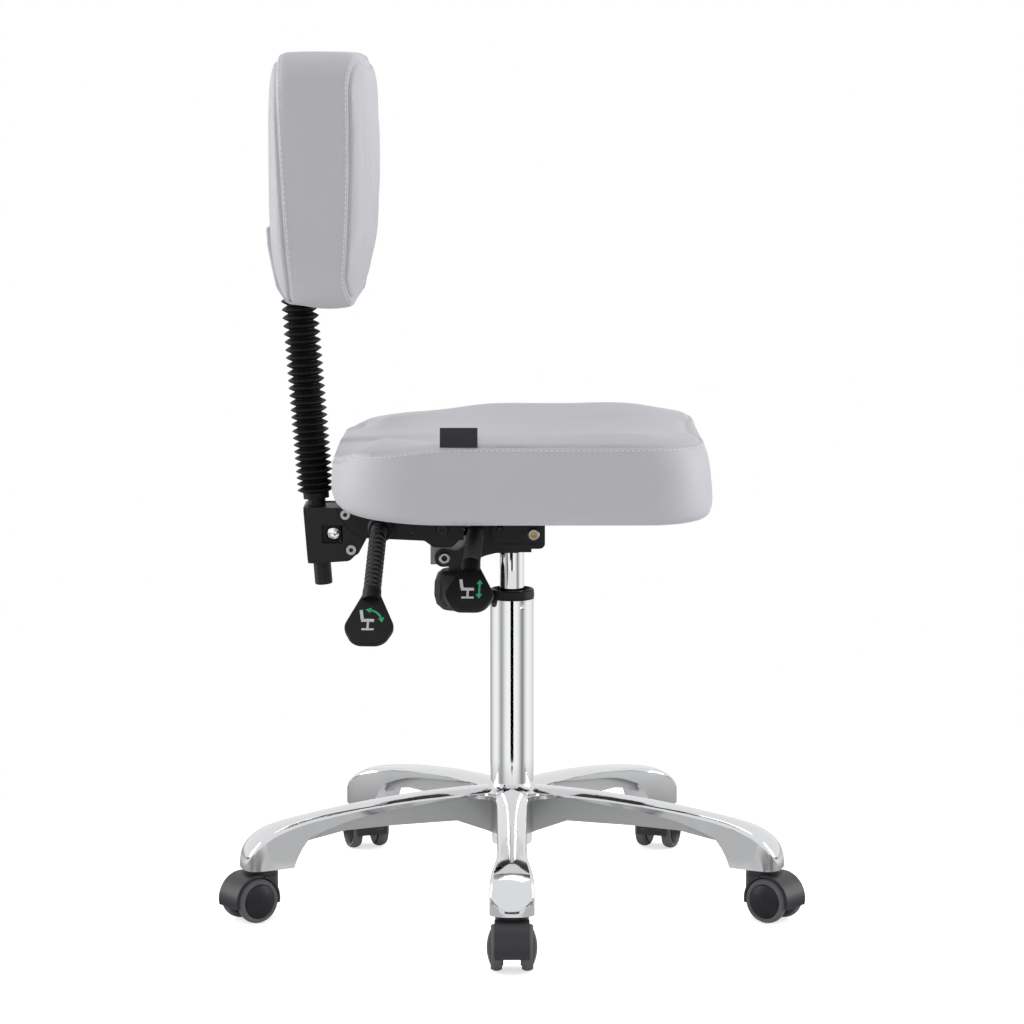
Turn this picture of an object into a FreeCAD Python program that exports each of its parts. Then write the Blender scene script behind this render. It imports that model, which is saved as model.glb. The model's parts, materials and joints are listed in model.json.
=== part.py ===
# Medical stool with a five-arm base, gas column, tilting seat and height-adjustable back.
# Sizes in millimetres, +X to the front of the stool, +Y to its left, +Z up, floor at Z = 0.
import FreeCAD, Part
import math
import os

V = FreeCAD.Vector
UP = V(0, 0, 1)
ACROSS = V(0, 1, 0)

# Fits
FIT = 0.05              # radial play of a turning or sliding pair
SLACK = 0.5             # play of loose holes round rods that rock
SEAT_GAP = 0.3          # gap left where soft or turning pieces face another piece

# Casters
TRAIL = 17.0
WHEEL_R = 25.0
TYRE_H = 5.5            # thickness of the tread
HUB_RADIUS = WHEEL_R - TYRE_H
TYRE_IN = 10.5          # inner face of a tyre from the middle
TYRE_W = 12.0
CAP_BULGE = 4.4
CORE_HALF = 8.6         # half thickness between the wheels
HOOD_HALF = 18.5
ARCH_GAP = 1.3          # between tyre and hood
HOOD_WALL = 2.7
HOOD_R = WHEEL_R + ARCH_GAP + HOOD_WALL
NECK_R = 18.0
NECK_RISE = 7.3         # neck above the tops of the wheels
NECK_TOP = 2 * WHEEL_R + NECK_RISE
WASHER_T = 0.9
AXLE_R = 3.0
STEM_R = 5.5
STEM_LEN = 29.5         # length of the stem in the base
CASTER_TURNS = [-90.0, -37.0, 70.0, 110.0, 217.0]

# Base
ARMS = 5
ARM_FIRST = -90.0       # direction of the first arm in degrees
STEM_CIRCLE = 295.0     # radius of the circle through the caster stems
TIP_R = STEM_CIRCLE + 23.0          # reach of an arm's end
TIP_CORNER_R = STEM_CIRCLE + 9.0    # where an arm's end starts to round
TIP_HALF = 24.0         # half width at the end
WAIST_R = STEM_CIRCLE - 55.0        # where an arm is narrowest
WAIST_HALF = 15.8
ROOT_R = 56.0           # where an arm leaves the hub
ROOT_HALF = 18.5
HOLLOW_R = 45.0         # radius of the hollow between two arms
CROWN_R = 30.0          # rounding across the top of an arm
TOE_CROWN_R = 62.0      # flatter rounding at its end
BOOT_Z = NECK_TOP + WASHER_T + SEAT_GAP     # underside of an arm's end
STEM_TOP = BOOT_Z + STEM_LEN
ARM_HIGH = 76.0         # from there to the top of the arms at the hub
ARM_TOP = BOOT_Z + ARM_HIGH
ARM_FALL = 31.309       # how far the top falls from the hub to the stems
ARM_DROP = ARM_FALL / (STEM_CIRCLE - 20) ** 2
NOSE_START = STEM_CIRCLE - 33.0     # where the top starts to round down to the end
NOSE_DROP = 37.4        # fall of that rounding
EDGE_R = 2.4            # polished rounding along the top edges
BOOT_INNER_R = STEM_CIRCLE - 33.0   # inner edge of the underside of an arm's end
SKIRT_R = STEM_CIRCLE - 52.0        # where the skirt joins the boot
SKIRT_Z = BOOT_Z + 32.5
WEB_HALF = 6.5          # half thickness of the web under an arm
WEB_Z = BOOT_Z + 38.0   # underside of the web
TUBE_R = 25.0
HUB_R = TUBE_R + 2.5
HUB_BOTTOM = BOOT_Z + 21.5

# Column
TUBE_WALL = 3.0
COLUMN_LEN = 214.5     # tube above the base
TUBE_TOP = ARM_TOP + COLUMN_LEN
TUBE_BOTTOM = BOOT_Z + 7.5
TAPER_R = TUBE_R - 2.5        # radius of the tapered foot at its bottom
FOOT_PLATE = 4.0
COLLAR_H = 11.0
BUSH_LEN = 100.0
CYL_R = 14.0
CYL_WALL = 2.5
CYL_IN = 149.0          # length of the cylinder inside the tube
CYL_OUT = 79.0          # length above the tube
CYL_BOTTOM = TUBE_TOP - CYL_IN
CYL_TOP = TUBE_TOP + CYL_OUT
ROD_R = 5.0
ROD_TOP = TUBE_TOP - 24.0
CLIP_R = 8.5
CLIP_H = 3.5
VALVE_R = 3.0

# Carrier under the seat
BOSS_R = CYL_R + 8.0
BOSS_BOTTOM = CYL_TOP - 23.0
BOSS_H = 17.0
BOSS_TOP = BOSS_BOTTOM + BOSS_H
CHEEK_IN = 24.0         # inner face of the carrier's cheeks
CHEEK_T = 6.0
PIVOT_X = 24.3          # front bolt, on which the seat tilts
PIVOT_Z = BOSS_BOTTOM + 24.0
PIVOT_BOLT_R = 5.0
EYE_X = -76.0           # hook eye behind the column
EYE_Z = BOSS_BOTTOM - 5.5
EYE_R = 11.0
HOOK_BOLT_R = 4.0
STOP_X = -13.8          # stop pin of the tilt
STOP_Z = PIVOT_Z + 5.5
STOP_R = 2.5
SOCKET_SHARE = 0.52     # size of the hexagon socket in a bolt head
HEAD_H = 5.0            # height of the bolt heads

# Tilt spring, saddle and knob
SCREW_X = -60.0
SCREW_R = 5.0
SCREW_TOP = PIVOT_Z + 7.0
SADDLE_BACK = -92.0
SADDLE_FRONT = -46.0
SADDLE_HALF = 23.0
SADDLE_TOP = BOSS_BOTTOM + 19.0
SADDLE_BOTTOM = BOSS_BOTTOM - 14.0
SADDLE_T = 3.5
SPRING_R = 13.0         # radius of the wire's centre line
WIRE_R = 2.0
SPRING_TURNS = 3
KNOB_R = 28.5
KNOB_H = 45.0
KNOB_TOP = SADDLE_BOTTOM - 9.0
KNOB_BOTTOM = KNOB_TOP - KNOB_H
KNOB_FLUTES = 12

# Seat channel
PLATE_TOP = PIVOT_Z + 28.0  # face that the seat lies on
STEEL_T = 3.0
FLANGE_OUT = 48.0       # outer face of the side flanges
CHANNEL_REAR = -165.0
CHANNEL_FRONT = 37.0
FLANGE_REAR_Z = PLATE_TOP - 35.5
FLANGE_FRONT_Z = PLATE_TOP - 44.5
LOBE_X = -78.0
LOBE_Z = PLATE_TOP - 43.0
SEAT_BOLT_Y = 74.0
SEAT_BOLT_R = 4.0

# Levers
LEVER_TURN = 3.5        # how far the levers point to the rear, in degrees
LEVER_R = 4.5
SLEEVE_R = 9.8
SLEEVE_ROOT_R = 8.0
SLEEVE_RIBS = 12
SLEEVE_NECK_RIBS = 4    # ribs on the bend
NECK_FOLD_R = 8.8       # their radius
BEND_R = 25.0
LIFT_X = -37.0
LIFT_Z = PLATE_TOP - 21.0
LIFT_BEND = 60.0        # from the pivot to the bend, to the paddle, and the fall between them
LIFT_OUT = 123.0
LIFT_DROP = 25.0
LIFT_FALL = 44.0        # fall along the paddle
LIFT_PIVOT_Y = -27.0
TILT_X = -146.6
TILT_Z = PLATE_TOP - 20.8
TILT_BEND = 30.0
TILT_OUT = 102.0
TILT_DROP = 55.2
TILT_FALL = 51.0
TILT_BOSS_R = 15.0
TILT_BOSS_LEN = 11.0
TONGUE_IN = 18.0        # inner end of the TILT rod from the middle
PADDLE_W = 54.0
PADDLE_T = 6.0
PADDLE_RUN = 50.0       # how far a paddle reaches outwards

# Seat
SEAT_REAR = -200.0
SEAT_FRONT = 221.0
SEAT_HALF = 210.0
SEAT_WALL = 89.0        # height of the side walls
SEAT_RIM = PLATE_TOP + SEAT_WALL
SEAT_CORNER = 72.0
BOARD_T = 12.0
BOARD_INSET = 34.0

# Back bracket and post
POST_X = -221.5         # post axis at the height below
POST_Z = PLATE_TOP + 7.0
POST_LEAN = 4.5         # backward lean in degrees
POST_R = 10.0
POST_WALL = 2.5
POST_BOTTOM = -99.0     # along the axis from the point above
POST_TOP = 330.0
BRACKET_OUT = 30.0      # outer face of the bracket's cheeks
BRACKET_TOP = PLATE_TOP - 0.5
BRACKET_BOTTOM = PLATE_TOP - 64.0
BUTTON_X = -201.0
BUTTON_Z = PLATE_TOP - 30.0
BUTTON_R = 8.5
BACK_BOLT_R = 4.0
PLATE_HALF = 65.0       # back plate on the post

# Bellows
BELLOWS_RIBS = 27
BELLOWS_R = 20.5
BELLOWS_ROOT_R = 14.0
BELLOWS_BORE_R = 11.8
BELLOWS_LOW = 0.0       # along the post axis
BELLOWS_HIGH = 223.0
PITCH_GROWTH = 0.34     # how much wider the folds are at the top
CUFF_LEN = 7.0

# Backrest
BACK_HALF = 185.0
BACK_RISE = 230.0       # from the seat frame to the backrest
BACK_LOW = PLATE_TOP + BACK_RISE
BACK_H = 279.0
BACK_HIGH = BACK_LOW + BACK_H
BAND_FRONT = -177.0     # front and rear edges of the side band
BAND_REAR = -247.0
BACK_FRONT = -148.5     # furthest points of the two crowned faces
BACK_REAR = -266.0
BACK_CORNER = 62.0
COVER_HALF = 105.0
COVER_TOP = BACK_LOW + 88.0
COVER_T = 3.0


def cyl(r, h, at, axis=UP):
    return Part.makeCylinder(r, h, at, axis)


def box(x0, x1, y0, y1, z0, z1):
    return Part.makeBox(x1 - x0, y1 - y0, z1 - z0, V(x0, y0, z0))


def outline(points, radii):
    """Closed wire through flat points, each corner rounded by its radius."""
    edges = []
    count = len(points)
    trims = []
    for i in range(count):
        p = points[i]
        back = (points[i - 1] - p).normalize()
        ahead = (points[(i + 1) % count] - p).normalize()
        r = radii[i] if isinstance(radii, (list, tuple)) else radii
        half = back.getAngle(ahead) / 2
        reach = r / math.tan(half)
        middle = (back + ahead).normalize()
        top = p + middle * (r / math.sin(half) - r)
        trims.append((p + back * reach, top, p + ahead * reach, r))
    for i in range(count):
        start, top, end, r = trims[i]
        if r > 0:
            edges.append(Part.Arc(start, top, end).toShape())
        follow = trims[(i + 1) % count][0]
        if end.distanceToPoint(follow) > 0.001:
            edges.append(Part.makeLine(end, follow))
    return Part.Wire(edges)


def plate(points, radii, y0, y1):
    """Flat piece drawn from the side in X and Z, from one Y to another."""
    wire = outline([V(x, y0, z) for x, z in points], radii)
    return Part.Face(wire).extrude(V(0, y1 - y0, 0))


def both_sides(shape):
    return shape.fuse(shape.mirror(V(0, 0, 0), ACROSS))


def spun(points, at=V(0, 0, 0), axis=UP):
    """Solid turned from a closed outline of (radius, height) about the upright axis."""
    wire = Part.makePolygon([V(r, 0, z) for r, z in points] + [V(points[0][0], 0, points[0][1])])
    turned = Part.Face(wire).revolve(V(0, 0, 0), UP, 360)
    turned.Placement = FreeCAD.Placement(at, FreeCAD.Rotation(UP, axis))
    return turned


def loft(wires, ruled=False):
    return Part.makeLoft(wires, True, ruled)


def ring_stack(circles):
    """Ruled loft through circles given as (height, radius), all on one axis."""
    wires = []
    for z, r in circles:
        circle = Part.Circle(V(0, 0, z), UP, r)
        circle.XAxis = V(1, 0, 0)
        wires.append(Part.Wire(circle.toShape()))
    return loft(wires, True)


def ribs(start, length, count, r_out, r_root, growth=0.0):
    """Four circles for each rib: root, flank, crest and flank, wider towards the end."""
    circles = []
    steps = [1 + growth * (2 * i / max(count - 1, 1) - 1) / 2 for i in range(count)]
    unit = length / sum(steps)
    z = start
    for step in steps:
        pitch = unit * step
        circles.append((z, r_root))
        circles.append((z + 0.15 * pitch, r_root))
        circles.append((z + 0.45 * pitch, r_out))
        circles.append((z + 0.70 * pitch, r_out))
        z += pitch
    circles.append((z, r_root))
    return circles


def socket_head(r, h, at, axis):
    """Round bolt head with a six sided socket, on a face and pointing along the axis."""
    head = spun([(0, 0), (r, 0), (r, h * 0.6), (r * 0.82, h), (0, h)], V(0, 0, 0), UP)
    key = r * SOCKET_SHARE
    corner = [V(key * math.cos(math.radians(60 * i)), key * math.sin(math.radians(60 * i)), h * 0.35)
              for i in range(7)]
    head = head.cut(Part.Face(Part.makePolygon(corner)).extrude(UP * h))
    head.Placement = FreeCAD.Placement(at, FreeCAD.Rotation(UP, axis))
    return head


def cross_bolt(x, z, r, reach, head_r):
    """Bolt across the stool with a head outside both faces at the given reach."""
    body = cyl(r, 2 * reach, V(x, -reach, z), ACROSS)
    near = socket_head(head_r, HEAD_H, V(x, -reach - FIT, z), V(0, -1, 0))
    far = socket_head(head_r, HEAD_H, V(x, reach + FIT, z), ACROSS)
    stub = cyl(r, 2 * reach + 2, V(x, -reach - 1, z), ACROSS)
    return body.fuse([stub, near, far])


nodes = {}


# Base: plan outline, crowned tops, boots for the casters, webs and hub
def on_arm(angle, r, v, z=0.0):
    a = math.radians(angle)
    return V(r * math.cos(a) - v * math.sin(a), r * math.sin(a) + v * math.cos(a), z)


def arc(a, b, c):
    return Part.Arc(a, b, c).toShape()


nose_end = TIP_R + 0.5


def arm_top(r):
    nose = min(1.0, max(0.0, (r - NOSE_START) / (nose_end - NOSE_START)))
    return ARM_TOP - ARM_DROP * (r - 20) ** 2 - NOSE_DROP * (1 - math.sqrt(1 - nose ** 3))


def arm_half(r):
    """Half width of an arm at a radius from the centre."""
    if r < WAIST_R:
        return WAIST_HALF + (ROOT_HALF - WAIST_HALF) * ((WAIST_R - r) / (WAIST_R - ROOT_R)) ** 2
    if r < TIP_CORNER_R:
        flare = (r - WAIST_R) / (TIP_CORNER_R - WAIST_R)
        return WAIST_HALF + (TIP_HALF - WAIST_HALF) * flare * flare * (3 - 2 * flare)
    rest = (r - TIP_CORNER_R) / (nose_end - TIP_CORNER_R)
    return 4 + (TIP_HALF - 4) * math.sqrt(1 - rest ** 2.4)


def crown_section(r):
    """Cross section of an arm: upright sides, rounded edges and a crowned top."""
    z = arm_top(r)
    half = arm_half(r)
    share = min(1.0, max(0.0, (r - WAIST_R * 0.6) / (TIP_CORNER_R - WAIST_R * 0.6)))
    bend = CROWN_R + (TOE_CROWN_R - CROWN_R) * share
    edge = min(EDGE_R + 4.0 * share, half * 0.5)
    edge_z = math.sqrt((bend - edge) ** 2 - (half - edge) ** 2)
    touch = V(r, (half - edge) * bend / (bend - edge), z - bend + edge_z * bend / (bend - edge))
    turn = math.atan2(edge_z, half - edge) / 2
    mid = V(r, half - edge + edge * math.cos(turn), z - bend + edge_z + edge * math.sin(turn))
    side = V(r, half, z - bend + edge_z)
    foot = V(r, half, 5)

    def over(point):
        return V(point.x, -point.y, point.z)

    return Part.Wire([Part.makeLine(over(foot), over(side)), arc(over(side), over(mid), over(touch)),
                      arc(over(touch), V(r, 0, z), touch), arc(touch, mid, side),
                      Part.makeLine(side, foot), Part.makeLine(foot, over(foot))])


step = 360.0 / ARMS
arm_angles = [ARM_FIRST + step * k for k in range(ARMS)]
nose_steps = [(1 - q * q) ** (1 / 3) for q in (0.97, 0.9, 0.8, 0.66, 0.5, 0.3, 0.12, 0.0)]
stations = [ROOT_R * 0.5 + (NOSE_START - ROOT_R * 0.5) * k / 12 for k in range(13)]
stations += [NOSE_START + (nose_end - NOSE_START) * t for t in nose_steps]
crown = loft([crown_section(r) for r in stations])

# Everything under this line from the side is open below the skirt
under = Part.Wire([
    arc(V(BOOT_INNER_R, -60, BOOT_Z), V(BOOT_INNER_R - 8, -60, BOOT_Z + 18), V(SKIRT_R, -60, SKIRT_Z)),
    arc(V(SKIRT_R, -60, SKIRT_Z), V(SKIRT_R - 43, -60, ARM_TOP - 28.1),
        V(SKIRT_R - 93, -60, ARM_TOP - 19)),
    Part.makeLine(V(SKIRT_R - 93, -60, ARM_TOP - 19), V(ROOT_R + 4, -60, ARM_TOP - 7)),
    Part.makeLine(V(ROOT_R + 4, -60, ARM_TOP - 7), V(0, -60, ARM_TOP - 7)),
    Part.makeLine(V(0, -60, ARM_TOP - 7), V(0, -60, 0)),
    Part.makeLine(V(0, -60, 0), V(TIP_R + 20, -60, 0)),
    Part.makeLine(V(TIP_R + 20, -60, 0), V(TIP_R + 20, -60, BOOT_Z)),
    Part.makeLine(V(TIP_R + 20, -60, BOOT_Z), V(BOOT_INNER_R, -60, BOOT_Z)),
])
crown = crown.cut(Part.Face(under).extrude(V(0, 120, 0)))

web_in = TUBE_R - 5
web_out = SKIRT_R + 9
web_line = [(web_in, HUB_BOTTOM - 2), (HUB_R + 0.5, HUB_BOTTOM + 1), (ROOT_R + 12, WEB_Z),
            (ROOT_R + 84, WEB_Z),
            (SKIRT_R - 43, WEB_Z - 2), (SKIRT_R, SKIRT_Z - 5), (web_out, SKIRT_Z - 11),
            (web_out, SKIRT_Z + 1),
            (SKIRT_R - 43, ARM_TOP - 22.5), (web_in, ARM_TOP - 8.5)]
web = plate(web_line, 0, -WEB_HALF, WEB_HALF)
socket = cyl(STEM_R + FIT, STEM_TOP + 1 - BOOT_Z + 5, V(STEM_CIRCLE, 0, BOOT_Z - 5))

pieces = []
for angle in arm_angles:
    arm = crown.copy()
    arm.rotate(V(0, 0, 0), UP, angle)
    rib = web.copy()
    rib.rotate(V(0, 0, 0), UP, angle)
    pieces += [arm, rib]
root_line = []
for angle in arm_angles:
    root_line.append(Part.makeLine(on_arm(angle, ROOT_R, -ROOT_HALF), on_arm(angle, ROOT_R, ROOT_HALF)))
    root_line.append(arc(on_arm(angle, ROOT_R, ROOT_HALF), on_arm(angle + step / 2, HOLLOW_R, 0),
                         on_arm(angle + step, ROOT_R, -ROOT_HALF)))
root = Part.Face(Part.Wire(Part.__sortEdges__(root_line))).extrude(UP * 4.5)
root.translate(V(0, 0, ARM_TOP - 12))
hub = cyl(HUB_R, ARM_TOP - 4 - HUB_BOTTOM, V(0, 0, HUB_BOTTOM))
ring_out = TUBE_R + 18
ring_wire = Part.Wire([
    arc(V(TUBE_R + 1.5, 0, ARM_TOP + 3), V(TUBE_R + 5, 0, ARM_TOP - 1.6),
        V(ring_out, 0, ARM_TOP - 5.5)),
    Part.makeLine(V(ring_out, 0, ARM_TOP - 5.5), V(ring_out, 0, ARM_TOP - 12)),
    Part.makeLine(V(ring_out, 0, ARM_TOP - 12), V(TUBE_R - 5, 0, ARM_TOP - 12)),
    Part.makeLine(V(TUBE_R - 5, 0, ARM_TOP - 12), V(TUBE_R - 5, 0, ARM_TOP + 3)),
    Part.makeLine(V(TUBE_R - 5, 0, ARM_TOP + 3), V(TUBE_R + 1.5, 0, ARM_TOP + 3)),
])
ring = Part.Face(ring_wire).revolve(V(0, 0, 0), UP, 360)
base = hub.fuse(pieces + [root, ring])
taper = Part.makeCone(TAPER_R, TUBE_R, ARM_TOP - TUBE_BOTTOM, V(0, 0, TUBE_BOTTOM))
bore_cone = Part.makeCone(TAPER_R + FIT, TUBE_R + FIT, ARM_TOP - TUBE_BOTTOM, V(0, 0, TUBE_BOTTOM))
base = base.cut([bore_cone, cyl(TUBE_R + FIT, 20, V(0, 0, ARM_TOP - 0.01))])
for angle in arm_angles:
    hole = socket.copy()
    hole.rotate(V(0, 0, 0), UP, angle)
    base = base.cut(hole)
nodes["base_star"] = base.removeSplitter()

# Column: tapered tube, bush with a cupped collar, rod, cylinder and valve pin
tube_in = TUBE_R - TUBE_WALL
tube = taper.fuse(cyl(TUBE_R, TUBE_TOP - ARM_TOP, V(0, 0, ARM_TOP)))
tube = tube.cut(cyl(tube_in, TUBE_TOP, V(0, 0, ARM_TOP)))
tube = tube.cut(cyl(TAPER_R - TUBE_WALL, ARM_TOP, V(0, 0, TUBE_BOTTOM + FOOT_PLATE)))
tube = tube.cut(cyl(ROD_R + FIT, 20, V(0, 0, TUBE_BOTTOM - 5)))
crimp_angle = math.radians(-62)
crimp = Part.makeSphere(4, V((TUBE_R + 2.6) * math.cos(crimp_angle),
                             (TUBE_R + 2.6) * math.sin(crimp_angle),
                             TUBE_TOP - 7))
nodes["column_tube"] = tube.cut(crimp).removeSplitter()

collar_top = TUBE_TOP + COLLAR_H
bush = spun([(CYL_R + FIT, TUBE_TOP - BUSH_LEN), (tube_in - FIT, TUBE_TOP - BUSH_LEN),
             (tube_in - FIT, TUBE_TOP),
             (TUBE_R, TUBE_TOP), (TUBE_R + 0.4, TUBE_TOP + 3), (TUBE_R, collar_top - 1),
             (TUBE_R - 1, collar_top),
             (TUBE_R - 2.5, collar_top), (CYL_R + 3, collar_top - 5), (CYL_R + FIT, collar_top - 5)])
nodes["column_bush"] = bush

clip_z = TUBE_BOTTOM - SEAT_GAP
rod = cyl(ROD_R, ROD_TOP - clip_z + CLIP_H, V(0, 0, clip_z - CLIP_H))
rod = rod.fuse([cyl(CLIP_R, CLIP_H, V(0, 0, clip_z - CLIP_H)),
                cyl(CLIP_R + 4, 6, V(0, 0, TUBE_BOTTOM + FOOT_PLATE + SEAT_GAP)),
                cyl(CYL_R - CYL_WALL - FIT, 8, V(0, 0, ROD_TOP - 8))])
nodes["piston_rod"] = rod.removeSplitter()

gas = cyl(CYL_R, CYL_TOP - CYL_BOTTOM, V(0, 0, CYL_BOTTOM))
gas = gas.cut(cyl(CYL_R - CYL_WALL, CYL_TOP - CYL_BOTTOM - 20, V(0, 0, CYL_BOTTOM + 6)))
gas = gas.cut([cyl(ROD_R + FIT, 12, V(0, 0, CYL_BOTTOM - 2)),
               cyl(VALVE_R + FIT, 30, V(0, 0, CYL_TOP - 20))])
nodes["gas_cylinder"] = gas

finger_z = LIFT_Z - 2.5
nodes["valve_pin"] = cyl(VALVE_R, finger_z - SEAT_GAP - CYL_TOP + 12, V(0, 0, CYL_TOP - 12))

# Carrier: boss on the cylinder, two cheeks with hook eyes and pivot lugs
cheek_line = [(EYE_X - EYE_R, EYE_Z - EYE_R), (EYE_X + 19, EYE_Z - 9), (-BOSS_R - 8, BOSS_BOTTOM - 3),
              (4 - BOSS_R, BOSS_BOTTOM), (6, BOSS_BOTTOM),
              (PIVOT_X + 11, PIVOT_Z - 12), (PIVOT_X + 11, PIVOT_Z + 11), (LIFT_X + 30, LIFT_Z + 6.5),
              (LIFT_X - 9, LIFT_Z + 6.5), (LIFT_X - 9, LIFT_Z - 12), (EYE_X + 21, EYE_Z + 11.5),
              (EYE_X + 14, EYE_Z + 7), (EYE_X - EYE_R, EYE_Z + EYE_R)]
cheek_round = [EYE_R * 0.86, 12, 9, 6, 6, 10, 10, 5, 4, 8, 4, 4, EYE_R * 0.86]
cheek = plate(cheek_line, cheek_round, CHEEK_IN, CHEEK_IN + CHEEK_T)
cheek = cheek.cut([cyl(PIVOT_BOLT_R + FIT, 20, V(PIVOT_X, CHEEK_IN - 5, PIVOT_Z), ACROSS),
                   cyl(HOOK_BOLT_R + FIT, 20, V(EYE_X, CHEEK_IN - 5, EYE_Z), ACROSS),
                   cyl(STOP_R + FIT, 20, V(STOP_X, CHEEK_IN - 5, STOP_Z), ACROSS)])
rest = cyl(LEVER_R + SLACK, 20, V(LIFT_X, CHEEK_IN - 5, LIFT_Z), ACROSS)
boss = cyl(BOSS_R, BOSS_TOP - BOSS_BOTTOM, V(0, 0, BOSS_BOTTOM))
floor = box(-BOSS_R, BOSS_R, -CHEEK_IN, CHEEK_IN, BOSS_BOTTOM, BOSS_BOTTOM + 7)
carrier = boss.fuse([floor, cheek, cheek.cut(rest).mirror(V(0, 0, 0), ACROSS)])
carrier = carrier.cut(cyl(CYL_R + FIT, 60, V(0, 0, BOSS_BOTTOM - 10)))
nodes["column_carrier"] = carrier.removeSplitter()

front_bolt = cross_bolt(PIVOT_X, PIVOT_Z, PIVOT_BOLT_R, FLANGE_OUT + SEAT_GAP, 6.8)
hook_bolt = cross_bolt(EYE_X, EYE_Z, HOOK_BOLT_R, CHEEK_IN + CHEEK_T, 6.5)
stop_pin = cyl(STOP_R, 2 * (FLANGE_OUT + 1), V(STOP_X, -FLANGE_OUT - 1, STOP_Z), ACROSS)
stop_near = stop_pin.common(box(STOP_X - 9, STOP_X + 9, -2 * FLANGE_OUT, -CHEEK_IN, STOP_Z - 9,
                                STOP_Z + 9))
stop_far = stop_near.mirror(V(0, 0, 0), ACROSS)
nodes["carrier_bolts"] = Part.makeCompound([front_bolt.removeSplitter().Solids[0],
                                            hook_bolt.removeSplitter().Solids[0], stop_near, stop_far])

# Saddle: box open at the front, held by the hook bolt, with the screw through it
saddle = box(SADDLE_BACK, SADDLE_FRONT, -SADDLE_HALF, SADDLE_HALF, SADDLE_BOTTOM, SADDLE_TOP)
saddle = saddle.cut(box(SADDLE_BACK + SADDLE_T, SADDLE_FRONT + 1, -SADDLE_HALF + SADDLE_T,
                        SADDLE_HALF - SADDLE_T, SADDLE_BOTTOM + SADDLE_T, SADDLE_TOP - SADDLE_T))
saddle = saddle.cut([cyl(SCREW_R + FIT, 100, V(SCREW_X, 0, SADDLE_BOTTOM - 20)),
                     cyl(HOOK_BOLT_R + FIT, 100, V(EYE_X, -50, EYE_Z), ACROSS)])
nodes["tension_saddle"] = saddle

# Spring: one tube on half-turn pairs of arcs between the saddle and the channel
spring_low = SADDLE_TOP + SEAT_GAP + WIRE_R
spring_high = PLATE_TOP - STEEL_T - SEAT_GAP - WIRE_R
halves = SPRING_TURNS * 2
rise = (spring_high - spring_low) / halves


def coil(q):
    a = math.radians(180 * q)
    return V(SCREW_X + SPRING_R * math.cos(a), SPRING_R * math.sin(a), spring_low + rise * q)


def coil_way(q):
    a = math.radians(180 * q)
    speed = SPRING_R * math.pi
    return V(-speed * math.sin(a), speed * math.cos(a), rise).normalize()


def biarc(p0, t0, p1, t1):
    """Two arcs from one point and direction to another, meeting in one direction."""
    gap = p1 - p0
    both = t0 + t1
    a = 2 * (1 - t0.dot(t1))
    b = 2 * gap.dot(both)
    d = (-b + math.sqrt(b * b + 4 * a * gap.dot(gap))) / (2 * a)
    q0 = p0 + t0 * d
    q1 = p1 - t1 * d
    joint = (q0 + q1) * 0.5
    way = (q1 - q0).normalize()
    return joint, way


def arc_from(p, t, q):
    """Arc leaving a point in a direction and ending at another point."""
    chord = q - p
    side = t.cross(chord).cross(t).normalize()
    r = chord.dot(chord) / (2 * chord.dot(side))
    centre = p + side * r
    mid = ((p - centre) + (q - centre)).normalize() * r + centre
    return Part.Arc(p, mid, q).toShape()


coil_edges = []
for q in range(halves):
    joint, way = biarc(coil(q), coil_way(q), coil(q + 1), coil_way(q + 1))
    coil_edges.append(arc_from(coil(q), coil_way(q), joint))
    coil_edges.append(arc_from(joint, way, coil(q + 1)))
coil_wire = Part.Wire(coil_edges)
wire_ring = Part.Wire(Part.Circle(coil(0), coil_way(0), WIRE_R).toShape())
spring = coil_wire.makePipeShell([wire_ring], True, False)
nodes["tilt_spring"] = spring
samples = [coil(i / 32.0) for i in range(32 * halves + 1)]
least = min(samples[i].distanceToPoint(samples[j]) for i in range(len(samples))
            for j in range(i + 40, len(samples)))
print("spring: least gap to itself", round(least - 2 * WIRE_R, 2), "mm")

# Knob: turned body with flutes, on the screw
knob = spun([(0, KNOB_BOTTOM), (KNOB_R - 9, KNOB_BOTTOM), (KNOB_R - 2.5, KNOB_BOTTOM + 6),
             (KNOB_R, KNOB_BOTTOM + 16),
             (KNOB_R - 0.5, KNOB_TOP - 14), (KNOB_R - 4, KNOB_TOP - 4), (KNOB_R - 9, KNOB_TOP),
             (SCREW_R + 7, KNOB_TOP), (SCREW_R + 7, SADDLE_BOTTOM - SEAT_GAP),
             (0, SADDLE_BOTTOM - SEAT_GAP)])
flutes = []
for i in range(KNOB_FLUTES):
    a = 2 * math.pi * (i + 0.5) / KNOB_FLUTES
    flutes.append(cyl(3.2, 60, V((KNOB_R + 1.6) * math.cos(a), (KNOB_R + 1.6) * math.sin(a),
                                 KNOB_BOTTOM - 5)))
knob = knob.cut(flutes).cut(cyl(SCREW_R + FIT, 100, V(0, 0, KNOB_TOP - 30)))
knob.translate(V(SCREW_X, 0, 0))
nodes["tension_knob"] = knob
nodes["tension_screw"] = cyl(SCREW_R, SCREW_TOP - KNOB_TOP + 30, V(SCREW_X, 0, KNOB_TOP - 30))

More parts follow.
